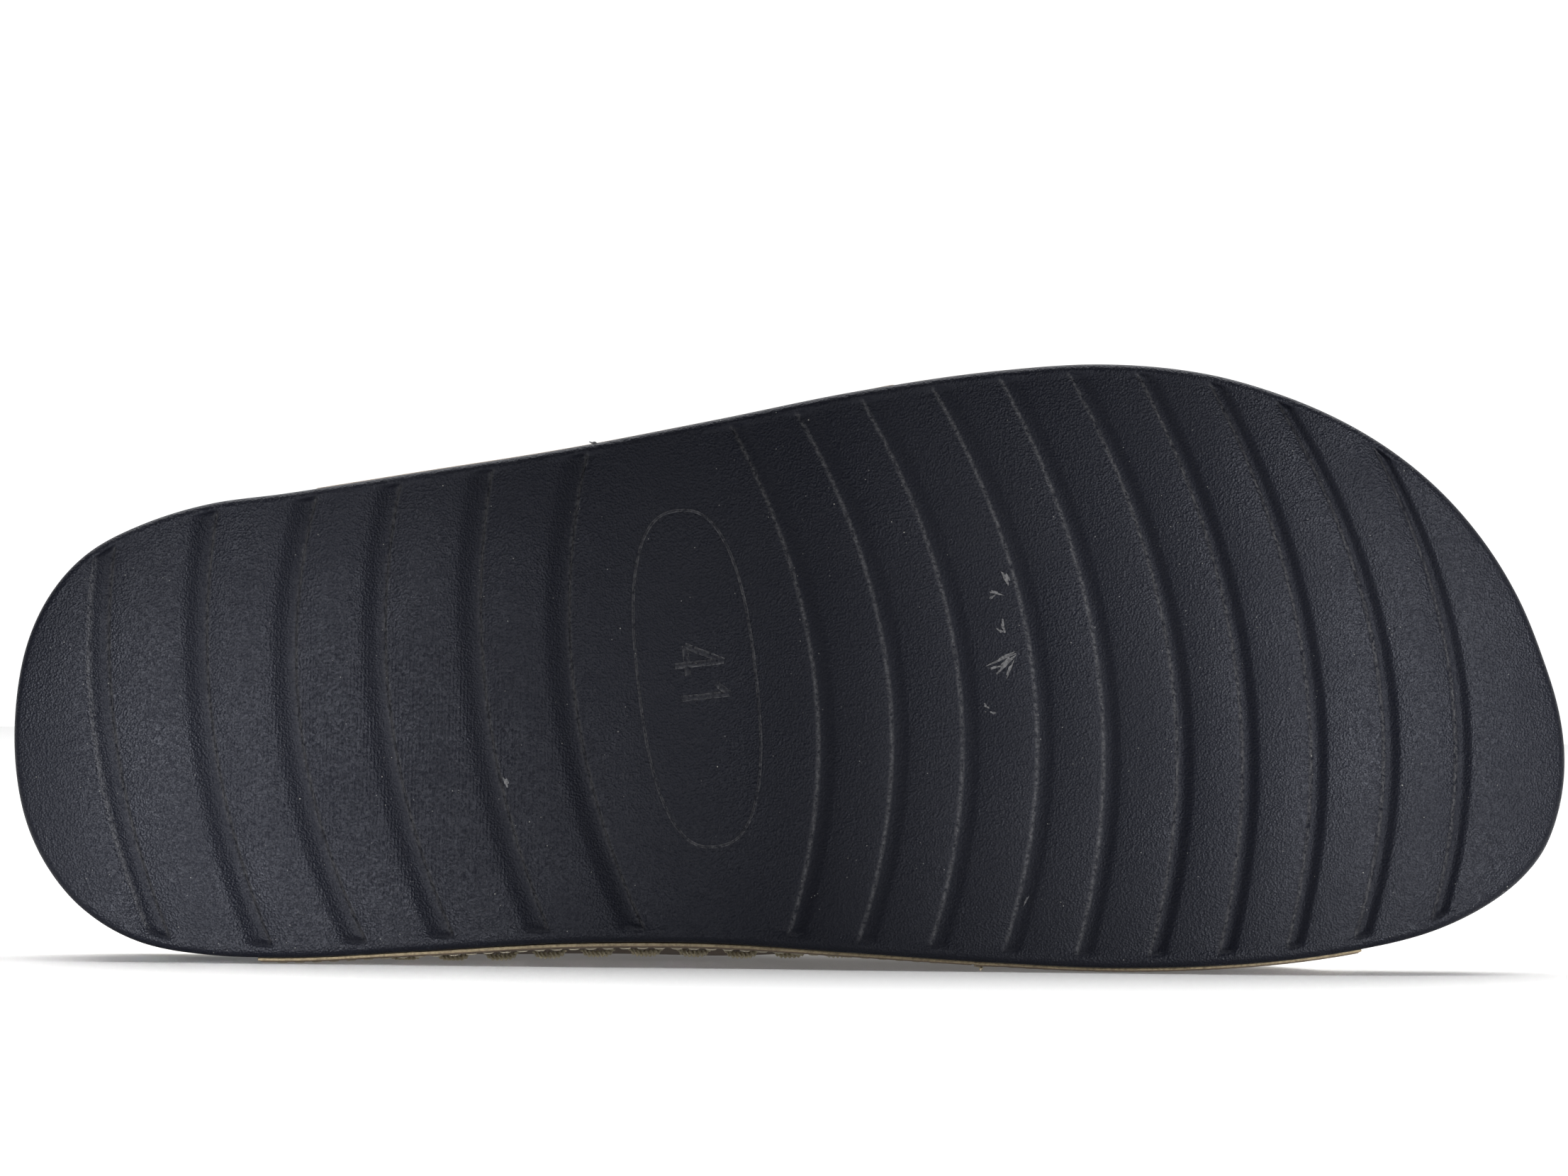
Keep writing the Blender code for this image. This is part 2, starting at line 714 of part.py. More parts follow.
def stands_over(corners, centre, down):
    """Whether a point lies over a triangle, seen along the direction down."""
    signs = []
    for place in range(3):
        edge = corners[(place + 1) % 3] - corners[place]
        signs.append(edge.cross(centre - corners[place]).dot(down) >= 0.0)
    return all(signs) or not any(signs)


def lay_on_side(densities):
    """Turn the standing shoe on to its medial side, toe towards +X, sole towards -Y."""
    pieces = [piece for piece, _ in densities]
    down = resting_direction(pieces, balance_point(densities))
    forward = (Vector((1.0, 0.0, 0.0)) - down * down.x).normalized()
    away = forward.cross(down)
    turn = Matrix((forward, away, -down)).to_4x4()
    for piece in pieces:
        piece.data.transform(turn)
    corners = np.array([vertex.co for piece in pieces for vertex in piece.data.vertices])
    low, high = corners.min(axis=0), corners.max(axis=0)
    shift = Matrix.Translation((-(low[0] + high[0]) / 2, -(low[1] + high[1]) / 2, -low[2]))
    for piece in pieces:
        piece.data.transform(shift)


for old in list(bpy.data.objects):
    bpy.data.objects.remove(old, do_unlink=True)

lay_on_side([
    (make_outsole(), SOLE_DENSITY),
    (make_footbed(), FOOTBED_DENSITY),
    (make_upper(), STRAP_DENSITY),
])
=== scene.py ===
"""A cross-strap slipper for the right foot, lying on its medial side with the tread in view.

The pieces are worked out standing (x towards the toe, y towards the medial side,
z up from the ground) in metres, then laid where the CAD shoe lies.
"""
import json
import math
from collections import namedtuple

import bmesh
import bpy
import numpy as np
from mathutils import Matrix, Vector
from mathutils.kdtree import KDTree

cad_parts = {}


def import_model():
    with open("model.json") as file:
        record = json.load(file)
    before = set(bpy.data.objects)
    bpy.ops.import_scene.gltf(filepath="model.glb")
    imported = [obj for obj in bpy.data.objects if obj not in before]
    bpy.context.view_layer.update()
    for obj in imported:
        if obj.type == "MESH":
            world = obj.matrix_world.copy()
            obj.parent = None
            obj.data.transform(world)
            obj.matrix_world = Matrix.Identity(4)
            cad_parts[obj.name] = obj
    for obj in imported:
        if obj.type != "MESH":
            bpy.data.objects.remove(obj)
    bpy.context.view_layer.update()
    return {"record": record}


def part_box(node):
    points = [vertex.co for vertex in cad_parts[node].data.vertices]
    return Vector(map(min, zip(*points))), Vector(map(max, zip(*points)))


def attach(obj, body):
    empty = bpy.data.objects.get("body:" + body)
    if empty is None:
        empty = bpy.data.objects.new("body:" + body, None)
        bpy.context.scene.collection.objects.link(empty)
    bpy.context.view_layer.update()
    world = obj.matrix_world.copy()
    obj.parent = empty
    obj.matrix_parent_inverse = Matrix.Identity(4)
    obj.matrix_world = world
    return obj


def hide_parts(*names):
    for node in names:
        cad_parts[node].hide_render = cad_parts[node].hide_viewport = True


MM = 0.001

# Outsole
SOLE_LENGTH = 0.272
BALL_WIDTH = 0.1057
HEEL_THICKNESS = 0.026
TOE_SPRING = 0.012
ARCH_LIFT = 0.0015
HEEL_BEVEL = 0.0012
TREAD_EDGE_RADIUS = 0.0012
TREAD_DOME = 0.0006
TREAD_DOME_REACH = 0.010
HEEL_DOME_END_SHARE = 0.42
HEEL_DOME_FADE = 0.12
BALL_DOME_START_SHARE = 0.50
BALL_DOME_FADE = 0.15
SEAT_START = 0.002
SEAT_DEPTH = 0.0030
ARCH_SEAT_SHARE = 0.30
HEEL_SEAT_SHARE = 0.34
HEEL_SEAT_SPREAD = 0.15
BALL_SEAT_SHARE = 0.44
BALL_SEAT_SPREAD = 0.12
BARE_SIDE_FLARE = math.radians(-2.5)
SEAT_MARGIN = 0.0002
SEAT_RUN_OUT = 0.0012
TOP_EDGE_ROUND = 0.0014
TOP_REACHES = [0.002, 0.004]
TREAD_EDGE_RINGS = 6
SIDE_WALL_RINGS = 8
TOP_EDGE_RINGS = 4

# Tread grooves, and rows of the mesh beside and down each
GROOVE_DEPTH = 0.0008
SHALLOW_GROOVES_SHARE = 0.60
SHALLOW_GROOVES_SPREAD = 0.13
SHALLOWER_BY = 0.60
HEEL_GROOVE_WIDTH = 0.0040
FOREFOOT_GROOVE_WIDTH = 0.0030
HEEL_WALL_WIDTH = 0.0006
FOREFOOT_WALL_WIDTH = 0.0011
GROOVE_FLOOR_SHARE = 0.15
SHOULDER_END_SHARE = 1.25
LAST_ROW_SHARE = 1.30
LAND_EDGE_STEPS = [-0.0010, -0.0006, -0.0003, -0.00012]
WALL_STEPS = 5
SHOULDER_STEPS = 10
LAND_PITCH = 0.0010
EDGE_LINE_REACH = 0.00050
LAND_ROUND = 0.00030
LAND_ROUND_REACH = 0.0024
LATERAL_RUN_OUT = 0.0010
MEDIAL_RIM = 0.0004
MEDIAL_RUN_OUT = 0.0016
RIM_COLUMNS = [0.0, 0.00025, 0.0005, 0.0008, 0.0011, 0.0015, 0.0020, 0.0027]
MIDDLE_COLUMNS = 86

# Patch of fine moulded rows on the heel: its middle, its reach and the pitch of the rows
MOULDED_PATCH = (0.071, 0.017)
MOULDED_REACH = (0.032, 0.026)
MOULDED_PITCH = 0.00062

# Footbed
FOOTBED_THICKNESS = 0.0045
FOOTBED_EDGE_ROUND = 0.0010
HEEL_CUP = 0.0025
HEEL_CUP_END_SHARE = 0.50
HEEL_CUP_FADE = 0.30
ARCH_SUPPORT = 0.0035
ARCH_SUPPORT_ACROSS = 0.55
ARCH_SUPPORT_SHARE = 0.42
ARCH_SUPPORT_SPREAD = 0.13
FOOTBED_HALF_ROWS = 60
FOOTBED_COLUMNS = 60
FOOTBED_EDGE_RINGS = 5
FOOTBED_LOWER_RINGS = [0.45, 0.0]

# Straps
LEATHER = 0.0014
SKIVED_EDGE = 0.0009
LATERAL_SKIVED_EDGE = 0.0005
PIECE_GAP = 0.0004
SIDE_GAP = 0.00008
CUT_EDGE_HEIGHT = 0.0035
INSTEP_HEIGHT = 0.070
ARCH_FLARE = 0.0024
RIDGE_SHIFT = 0.004
OVERLAP_RAMP = 0.005
OVERLAP_GAP = 0.00012
CUT_EDGE_ROUND = 0.00028
CUT_EDGE_ROUND_WIDTH = 0.0007
INNER_ROUND_SHARE = 0.4
# Way round the straps from one cut edge to the other
STRAP_WAY = 0.23
BASE_ROWS = [0.0, 0.0006, 0.0015, 0.003]
FIRST_EVEN_ROW = 0.006
STRAP_ROWS = 230
EDGE_COLUMNS = [0.0, 0.00012, 0.0003, 0.0006, 0.0012]
STRAP_MIDDLE_COLUMNS = 76

BEVEL_END_SHARE = 0.07
ARCH_START_SHARE = 0.34
ARCH_END_SHARE = 0.56
SPRING_START_SHARE = 0.76
SIDE_SHARE = 0.13
SECTION_POWER = 2.05
COVER_START_SHARE = 0.02
COVER_FULL_SHARE = 0.28
FLARE_PLACE_SHARE = 0.45
FLARE_SPREAD_SHARE = 0.13
# Brings the swell's greatest height round the section to about 1
FLARE_LEVEL = 3.0

OutlineRow = namedtuple("OutlineRow", "length_share lateral_share medial_share")
OUTLINE = [
    OutlineRow(0.000, -0.113, 0.113),
    OutlineRow(0.007, 0.030, 0.248),
    OutlineRow(0.021, 0.113, 0.328),
    OutlineRow(0.044, 0.182, 0.399),
    OutlineRow(0.081, 0.235, 0.455),
    OutlineRow(0.127, 0.271, 0.477),
    OutlineRow(0.173, 0.287, 0.481),
    OutlineRow(0.264, 0.324, 0.470),
    OutlineRow(0.356, 0.362, 0.457),
    OutlineRow(0.448, 0.409, 0.457),
    OutlineRow(0.540, 0.456, 0.474),
    OutlineRow(0.632, 0.491, 0.490),
    OutlineRow(0.700, 0.502, 0.498),
    OutlineRow(0.769, 0.485, 0.495),
    OutlineRow(0.815, 0.452, 0.486),
    OutlineRow(0.861, 0.401, 0.469),
    OutlineRow(0.907, 0.322, 0.441),
    OutlineRow(0.953, 0.192, 0.384),
    OutlineRow(0.971, 0.114, 0.347),
    OutlineRow(0.987, 0.013, 0.294),
    OutlineRow(0.996, -0.063, 0.232),
    OutlineRow(1.000, -0.150, 0.150),
]

Groove = namedtuple("Groove", "lateral_share middle_share medial_share")
HEEL_GROOVES = [
    Groove(0.064, 0.066, 0.103),
    Groove(0.131, 0.129, 0.169),
    Groove(0.195, 0.185, 0.230),
    Groove(0.249, 0.243, 0.286),
    Groove(0.308, 0.305, 0.347),
    Groove(0.369, 0.361, 0.408),
]
FOREFOOT_GROOVES = [
    Groove(0.457, 0.512, 0.494),
    Groove(0.499, 0.559, 0.539),
    Groove(0.541, 0.604, 0.585),
    Groove(0.587, 0.652, 0.632),
    Groove(0.631, 0.694, 0.679),
    Groove(0.675, 0.741, 0.726),
    Groove(0.720, 0.783, 0.771),
    Groove(0.767, 0.828, 0.815),
    Groove(0.811, 0.876, 0.859),
    Groove(0.875, 0.925, 0.910),
]

SoleEnd = namedtuple("SoleEnd", "lateral_share medial_share")
HEEL_END = SoleEnd(0.024, 0.046)
TOE_END = SoleEnd(0.945, 0.978)
WAIST = SoleEnd(0.45, 0.46)

ThicknessRow = namedtuple("ThicknessRow", "length_share thickness_share")
THICKNESS = [
    ThicknessRow(0.00, 1.00),
    ThicknessRow(0.22, 1.00),
    ThicknessRow(0.42, 0.86),
    ThicknessRow(0.62, 0.67),
    ThicknessRow(0.80, 0.62),
    ThicknessRow(1.00, 0.52),
]

CrownRow = namedtuple("CrownRow", "length_share height_share")
CROWN = [
    CrownRow(0.10, 1.25),
    CrownRow(0.30, 1.12),
    CrownRow(0.45, 1.00),
    CrownRow(0.55, 0.86),
    CrownRow(0.65, 0.70),
    CrownRow(0.72, 0.61),
    CrownRow(0.80, 0.53),
    CrownRow(0.90, 0.45),
]

# Edges of both straps, from the medial cut edge (0) over the instep (0.5) to the lateral one (1)
StrapRow = namedtuple("StrapRow", "over_share under_rear under_front over_rear over_front")
STRAPS = [
    StrapRow(0.000, 0.157, 0.617, 0.617, 0.866),
    StrapRow(0.130, 0.168, 0.632, 0.604, 0.850),
    StrapRow(0.250, 0.262, 0.648, 0.560, 0.812),
    StrapRow(0.380, 0.375, 0.670, 0.500, 0.756),
    StrapRow(0.500, 0.452, 0.712, 0.452, 0.712),
    StrapRow(0.620, 0.490, 0.742, 0.385, 0.662),
    StrapRow(0.750, 0.525, 0.778, 0.290, 0.622),
    StrapRow(0.870, 0.552, 0.806, 0.206, 0.592),
    StrapRow(1.000, 0.567, 0.815, 0.192, 0.567),
]

# Soft creases across the straps where the foot bends
Crease = namedtuple("Crease", "length_share over_share slant spread reach depth")
CREASES = [
    Crease(0.655, 0.20, 0.10, 0.0075, 0.10, 0.00045),
    Crease(0.700, 0.23, 0.14, 0.0085, 0.09, 0.00040),
    Crease(0.610, 0.17, 0.05, 0.0080, 0.07, 0.00030),
    Crease(0.690, 0.80, -0.08, 0.0080, 0.10, 0.00045),
    Crease(0.640, 0.77, -0.12, 0.0085, 0.10, 0.00040),
    Crease(0.740, 0.78, -0.10, 0.0075, 0.08, 0.00030),
    Crease(0.560, 0.45, 0.02, 0.0095, 0.12, 0.00035),
    Crease(0.605, 0.53, -0.02, 0.0090, 0.12, 0.00035),
]
# The low ridge behind a crease: its height as a share of the depth, and how many spreads away
CREASE_RIDGE_SHARE = 0.6
CREASE_RIDGE_AWAY = 1.7

# Stitches
Sewing = namedtuple("Sewing", "pitch length radius plies twists wander rings sides")
MACHINE_SEWING = Sewing(0.0030, 0.0022, 0.00015, 1, 0.0, 0.0, 7, 6)
HAND_SEWING = Sewing(0.0085, 0.0062, 0.00036, 2, 4.0, 0.0002, 37, 7)
MACHINE_STITCH_HEIGHT = 0.0020
HAND_STITCH_HEIGHT = 0.0170
STRAP_STITCH_SETBACK = 0.0024
FIRST_STITCH = 0.5
LOOK_AHEAD = 0.0003
PLY_SPREAD = 0.95
STITCH_RISE = 1.15
STITCH_SINK = 0.55
STITCH_TAPER = 0.45
WANDER_STEP = 7.3
WANDER_START = 1.1
BASE_LINE_POINTS = 400
EDGE_LINE_POINTS = 500
# How far from a strap's corners the stitches along its base start and stop, as shares of the sole
BASE_END_GAP = 0.010
MEDIAL_JOIN_GAP = 0.008
LATERAL_JOIN_GAP = 0.004
HAND_HEEL_GAP = 0.045
HAND_END_GAP = 0.020
# Stretch of a strap's long edge that is stitched, and where it runs under the other strap
EDGE_STITCHES = (0.03, 0.97)
UNDER_REAR_STOP = 0.46
UNDER_FRONT_START = 0.54
LOOSE_THREAD_RADIUS = 0.00022
LOOSE_THREAD_PLACE = 0.012
LOOSE_THREAD_STEPS = 14
LOOSE_THREAD_SIDES = 6
LOOSE_THREAD_DROP = 0.0032
LOOSE_THREAD_OUT = (0.0010, 0.0018)
# Sideways and downward curl of the loose thread: size and turn
LOOSE_SIDE_CURL = (0.0011, 2.6)
LOOSE_DOWN_CURL = (0.0010, 3.0)
LOOSE_THREAD_DRIFT = 0.0004

# Oval and size number in the arch
OVAL_CENTRE = (0.1194, 0.0021)
OVAL_HALF_LENGTH = 0.0296
OVAL_HALF_WIDTH = 0.0103
OVAL_POWER = 2.5
MARK_TILT = math.radians(6.5)
OVAL_LINE_WIDTH = 0.00055
NUMBER_LINE_WIDTH = 0.0011
MARK_HEIGHT = 0.00022
MARK_SLOPE_WIDTH = 0.00016
MARK_SLOPE_LIMIT = 0.25
MARK_STEP = 0.0004
OVAL_POINTS = 220
# Height of a ridge and how pale a painted highlight makes it, from one foot over its top to the other:
# the pale feet stand for light catching the ridge's edges
MARK_PROFILE = (-0.3, 0.9, 1.0, 0.9, -0.3)
OVAL_HIGHLIGHT = (1.3, 0.8, 0.2, 0.8, 1.3)
NUMBER_HIGHLIGHT = (1.6, 0.6, 0.1, 0.8, 2.6)
NUMBER_CORNER = (0.1151, -0.0039)
# Strokes of the generic size number: how far along and how far up each corner is, in millimetres
NUMBER_STROKES = [
    [(3.9, 0.0), (3.9, 8.6), (0.5, 2.1), (5.8, 2.1)],
    [(7.7, 6.8), (9.7, 8.9), (9.7, 0.5)],
]

# Small pale scuffs on the tread: place along and across the shoe, length, width, angle
Scuff = namedtuple("Scuff", "along across length width angle")
SCUFFS = [
    Scuff(0.1734, -0.0154, 0.0022, 0.0010, 1.1),
    Scuff(0.1716, -0.0128, 0.0022, 0.0005, 0.3),
    Scuff(0.1710, -0.0121, 0.0013, 0.0004, -0.6),
    Scuff(0.1729, -0.0070, 0.0026, 0.0005, 1.4),
    Scuff(0.1723, -0.0062, 0.0014, 0.0004, 0.5),
    Scuff(0.1729, -0.0014, 0.0052, 0.0006, -0.45),
    Scuff(0.1733, -0.0004, 0.0040, 0.0009, -0.80),
    Scuff(0.1740, 0.0006, 0.0030, 0.0005, -1.15),
    Scuff(0.1716, 0.0002, 0.0024, 0.0004, -0.25),
    Scuff(0.1699, 0.0070, 0.0012, 0.0004, 0.8),
    Scuff(0.1711, 0.0082, 0.0010, 0.0004, 0.2),
    Scuff(0.1013, -0.0391, 0.0014, 0.0005, 0.2),
    Scuff(0.1768, 0.0410, 0.0017, 0.0003, -1.1),
    Scuff(0.0861, 0.0203, 0.0016, 0.0008, 1.2),
]
SCUFF_LIFT = 0.00003
SCUFF_POINTS = 14
# Waves in the ragged rim of a scuff: share of its size, how many, change from one scuff to the next
RAGGED_WAVES = [(0.28, 3.0, 1.0), (0.22, 5.0, 2.0)]

# Studio: each light is aimed at a place, and its spread is in degrees
AreaLight = namedtuple("AreaLight", "name place aim size power spread")
LIGHTS = [
    AreaLight("overhead", (0.0, 0.40, 1.6), (0.0, 0.0, 0.0), (2.4, 1.6), 50.0, 180.0),
    AreaLight("heel side", (-0.13, -1.25, 0.19), (-0.104, -0.045, 0.020), (0.08, 0.10), 0.046, 8.0),
    AreaLight("toe side", (0.68, -0.95, 0.20), (0.116, -0.045, 0.046), (0.10, 0.12), 0.050, 10.0),
    AreaLight("forefoot side", (0.25, -1.30, 0.16), (0.048, -0.045, 0.052), (0.12, 0.12), 0.0095, 6.0),
]
FLOOR_CORNERS = [(-6, -5, 0), (6, -5, 0), (6, 1.6, 0), (-6, 1.6, 0)]
BACKDROP_CORNERS = [(-20, 8, -4), (20, 8, -4), (20, 8, 14), (-20, 8, 14)]
STUDIO_WHITE = (0.80, 0.80, 0.80, 1.0)
STUDIO_ROUGHNESS = 0.9
FLOOR_GLOW = 0.10
BACKDROP_GLOW = 1.1
WORLD_GLOW = 0.07

# Camera: what the photo shows at the shoe, and the place of the shoe in the photo's middle
CAMERA_DISTANCE = 1.6
CAMERA_ELEVATION = math.radians(0.5)
CAMERA_SENSOR = 36.0
PHOTO_WIDTH = 0.2740
PHOTO_AIM = (0.1346, -0.01365, 0.0)

SMALL_ANGLE = 1e-3
SMALL_SHARE = 1e-4


# Curves

def eased(share):
    """Rise from 0 to 1 with a soft start and a soft end."""
    held = np.clip(share, 0.0, 1.0)
    return held * held * (3.0 - 2.0 * held)


def curve_through(places, values, place):
    """Smooth curve through the values at rising places."""
    slopes = np.gradient(values, places)
    place = np.asarray(place, dtype=float)
    index = np.clip(np.searchsorted(places, place, side="right") - 1, 0, len(places) - 2)
    width = places[index + 1] - places[index]
    share = (place - places[index]) / width
    square, cube = share ** 2, share ** 3
    return (
        (2 * cube - 3 * square + 1) * values[index]
        + (cube - 2 * square + share) * width * slopes[index]
        + (3 * square - 2 * cube) * values[index + 1]
        + (cube - square) * width * slopes[index + 1]
    )


def squared_off(wave, power):
    """A sine or cosine raised to a power, with its sign kept: it turns an ellipse towards a box."""
    return np.sign(wave) * np.abs(wave) ** (2.0 / power)


def unit(vectors):
    return vectors / np.linalg.norm(vectors, axis=-1, keepdims=True)


def column_of(table, name):
    return np.array([getattr(row, name) for row in table])


def turn_at(length_share):
    """Angle round the outline, 0 at the heel and pi at the toe."""
    return np.arccos(1.0 - 2.0 * np.asarray(length_share))


def outline_loop():
    turns = turn_at(column_of(OUTLINE, "length_share"))
    lateral = list(zip(-turns, -column_of(OUTLINE, "lateral_share")))
    medial = list(zip(turns, column_of(OUTLINE, "medial_share")))
    once = lateral[::-1][:-1] + medial[:-1]
    before = [(turn - 2 * math.pi, side) for turn, side in once[-3:]]
    after = [(turn + 2 * math.pi, side) for turn, side in once[:4]]
    loop = np.array(before + once + after)
    return loop[:, 0], loop[:, 1] * BALL_WIDTH


LOOP_TURNS, LOOP_SIDES = outline_loop()


def raw_outline(turn):
    side = curve_through(LOOP_TURNS, LOOP_SIDES, turn)
    return np.stack([SOLE_LENGTH * (1.0 - np.cos(turn)) / 2.0, side], axis=-1)


def outline_point(turn, inset=0.0):
    """Points of the tread edge, moved inwards at right angles to the edge."""
    wrapped = (np.asarray(turn) + math.pi) % (2 * math.pi) - math.pi
    along = raw_outline(wrapped + SMALL_ANGLE) - raw_outline(wrapped - SMALL_ANGLE)
    outward = unit(np.stack([-along[..., 1], along[..., 0]], axis=-1))
    return raw_outline(wrapped) - np.asarray(inset)[..., None] * outward


def toe_rise(x):
    past = np.maximum(0.0, (x / SOLE_LENGTH - SPRING_START_SHARE) / (1.0 - SPRING_START_SHARE))
    return TOE_SPRING * past ** 2


def ground_lift(x):
    """Height of the tread above the ground: heel bevel, arch and toe spring."""
    share = x / SOLE_LENGTH
    heel = HEEL_BEVEL * np.maximum(0.0, 1.0 - share / BEVEL_END_SHARE) ** 2
    past_heel = np.clip((share - ARCH_START_SHARE) / (ARCH_END_SHARE - ARCH_START_SHARE), 0.0, 1.0)
    return heel + ARCH_LIFT * np.sin(math.pi * past_heel) ** 2 + toe_rise(x)


def sole_thickness(x):
    places = column_of(THICKNESS, "length_share")
    values = column_of(THICKNESS, "thickness_share")
    return HEEL_THICKNESS * curve_through(places, values, x / SOLE_LENGTH)


def sole_top(x):
    return toe_rise(x) + sole_thickness(x)


def seat_share(x, y):
    """1 where a strap lies against the side of the sole, 0 where the side is bare."""
    medial, lateral = STRAPS[0], STRAPS[-1]
    rear = np.where(y > 0.0, medial.under_rear, lateral.over_rear) * SOLE_LENGTH - SEAT_MARGIN
    front = np.where(y > 0.0, medial.over_front, lateral.under_front) * SOLE_LENGTH + SEAT_MARGIN
    return eased((x - rear) / SEAT_RUN_OUT + 1.0) * eased((front - x) / SEAT_RUN_OUT + 1.0)


def seat_depth(x, side):
    """How far the top of a seat draws in: less beside the arch on the medial side."""
    share = x / SOLE_LENGTH
    ball = eased((share - BALL_SEAT_SHARE) / BALL_SEAT_SPREAD)
    heel = eased((HEEL_SEAT_SHARE - share) / HEEL_SEAT_SPREAD)
    medial = ARCH_SEAT_SHARE + (1.0 - ARCH_SEAT_SHARE) * np.maximum(ball, heel)
    return SEAT_DEPTH * np.where(side > 0.0, medial, 1.0)


def seat_inset(x, z, side):
    """How far the side of the sole has drawn in at a height, where it seats a strap."""
    foot = ground_lift(x) + SEAT_START
    return seat_depth(x, side) * np.maximum(0.0, z - foot) / (sole_top(x) - foot)


def top_inset(points):
    seat = seat_share(points[:, 0], points[:, 1])
    flare = math.tan(BARE_SIDE_FLARE) * sole_thickness(points[:, 0])
    return seat * seat_depth(points[:, 0], points[:, 1]) - (1.0 - seat) * flare


# Rows across the sole, and grids made of them

def end_turns(end, share):
    """Angles round the outline along the rounded heel or toe, from the lateral to the medial side."""
    start, stop = -turn_at(end.lateral_share), turn_at(end.medial_share)
    if end is TOE_END:
        stop -= 2 * math.pi
    return start + (stop - start) * share


def end_arc(end, share, inset):
    return outline_point(end_turns(end, share), np.full(np.shape(share), inset))


class Rows:
    """Rows across the sole: where each meets both edges, how it bows and how it wraps an end."""

    def __init__(self, lateral, medial, bulge, wrap):
        self.lateral = np.asarray(lateral, dtype=float)
        self.medial = np.asarray(medial, dtype=float)
        self.bulge = np.asarray(bulge, dtype=float)
        self.wrap = np.asarray(wrap, dtype=float)

    def ends(self, inset):
        start = outline_point(-turn_at(self.lateral), np.full(self.lateral.shape, inset))
        stop = outline_point(turn_at(self.medial), np.full(self.medial.shape, inset))
        return start, stop

    def points(self, shares, inset):
        start, stop = self.ends(inset)
        share = shares[..., None]
        points = start[:, None, :] + (stop - start)[:, None, :] * share
        bow = np.zeros_like(points)
        bow[..., 0] = 4.0 * shares * (1.0 - shares) * self.bulge[:, None] * SOLE_LENGTH
        for end, rows in ((HEEL_END, self.lateral < 0.5), (TOE_END, self.lateral >= 0.5)):
            first, last = end_arc(end, np.array([0.0, 1.0]), inset)
            round_bow = end_arc(end, shares[rows], inset) - first - (last - first) * share[rows]
            wrap = self.wrap[rows][:, None, None]
            bow[rows] = (1.0 - wrap) * bow[rows] + wrap * round_bow
        return points + bow

    def rim_turns(self, shares):
        """Angle round the outline of every place of a grid's border, once round."""
        grid = np.zeros(shares.shape)
        grid[:, 0] = -turn_at(self.lateral)
        grid[:, -1] = turn_at(self.medial)
        grid[0] = end_turns(HEEL_END, shares[0])
        grid[-1] = end_turns(TOE_END, shares[-1])
        return perimeter(grid)


def perimeter(grid):
    """Border of a grid, once round."""
    return np.concatenate([grid[0], grid[1:, -1], grid[-1, -2::-1], grid[-2:0:-1, 0]])


def raised(points, heights):
    return np.concatenate([points, np.asarray(heights)[..., None]], axis=-1)


# Placing and making pieces

class Placement:
    """Takes points of the standing shoe to where the CAD shoe lies."""

    def __init__(self, record, sole_points):
        normal = np.array(next(m["axis"] for m in record["mounts"] if m["name"] == "heel_flat"))
        up = -normal / np.linalg.norm(normal)
        forward = np.array([normal[2], 0.0, -normal[0]])
        forward /= np.linalg.norm(forward)
        side = np.cross(up, forward)
        self.forward = Vector(forward)
        self.turn = np.stack([forward, side, up])
        turned = sole_points @ self.turn
        low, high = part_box("outsole")
        middle = (np.array(low) + np.array(high)) / 2.0
        self.shift = middle - (turned.min(axis=0) + turned.max(axis=0)) / 2.0

    def __call__(self, points):
        return np.asarray(points) @ self.turn + self.shift


class Shell:
    """Points and faces of one mesh, gathered from grids and rings."""

    def __init__(self):
        self.points = []
        self.faces = []
        self.kinds = []
        self.wear = []
        self.count = 0

    def add(self, points, wear=(0.0, 0.0, 0.0)):
        """Add points, with how much of a pale edge line (worn rubber with a painted highlight), of
        moulded rows and of a groove each shows.
        """
        flat = points.reshape(-1, 3)
        numbers = np.arange(self.count, self.count + len(flat)).reshape(points.shape[:-1])
        self.points.append(flat)
        channels = [np.broadcast_to(amount, points.shape[:-1]).reshape(-1) for amount in wear]
        self.wear.append(np.stack(channels, axis=-1))
        self.count += len(flat)
        return numbers

    def grid(self, numbers, kind=0, flip=False):
        corners = [numbers[:-1, :-1], numbers[:-1, 1:], numbers[1:, 1:], numbers[1:, :-1]]
        quads = np.stack(corners, axis=-1).reshape(-1, 4)
        if flip:
            quads = quads[:, ::-1]
        self.faces.extend(quads.tolist())
        self.kinds.extend([kind] * len(quads))

    def band(self, ring, after, kind=0):
        """Faces between two closed rings."""
        numbers = np.stack([np.append(ring, ring[0]), np.append(after, after[0])])
        self.grid(numbers, kind)

    def polygon(self, numbers):
        self.faces.append([int(number) for number in numbers])
        self.kinds.append(0)

    def make(self, name, place, materials, wear_and_highlight):
        mesh = bpy.data.meshes.new(name)
        mesh.from_pydata(place(np.concatenate(self.points)).tolist(), [], self.faces)
        for material in materials:
            mesh.materials.append(material)
        mesh.polygons.foreach_set("material_index", self.kinds)
        mesh.polygons.foreach_set("use_smooth", [True] * len(self.faces))
        if wear_and_highlight:
            # Masks for the rubber: the pale edge line (worn rubber with a painted highlight), the
            # moulded rows and the grooves
            layer = mesh.attributes.new("wear", "FLOAT_VECTOR", "POINT")
            layer.data.foreach_set("vector", np.concatenate(self.wear).astype(np.float32).reshape(-1))
        shape = bmesh.new()
        shape.from_mesh(mesh)
        bmesh.ops.recalc_face_normals(shape, faces=shape.faces[:])
        shape.to_mesh(mesh)
        shape.free()
        mesh.update()
        piece = bpy.data.objects.new(name, mesh)
        bpy.context.scene.collection.objects.link(piece)
        return piece


# Sole

TreadRow = namedtuple("TreadRow", "lateral medial bulge wrap depth edge rounding")


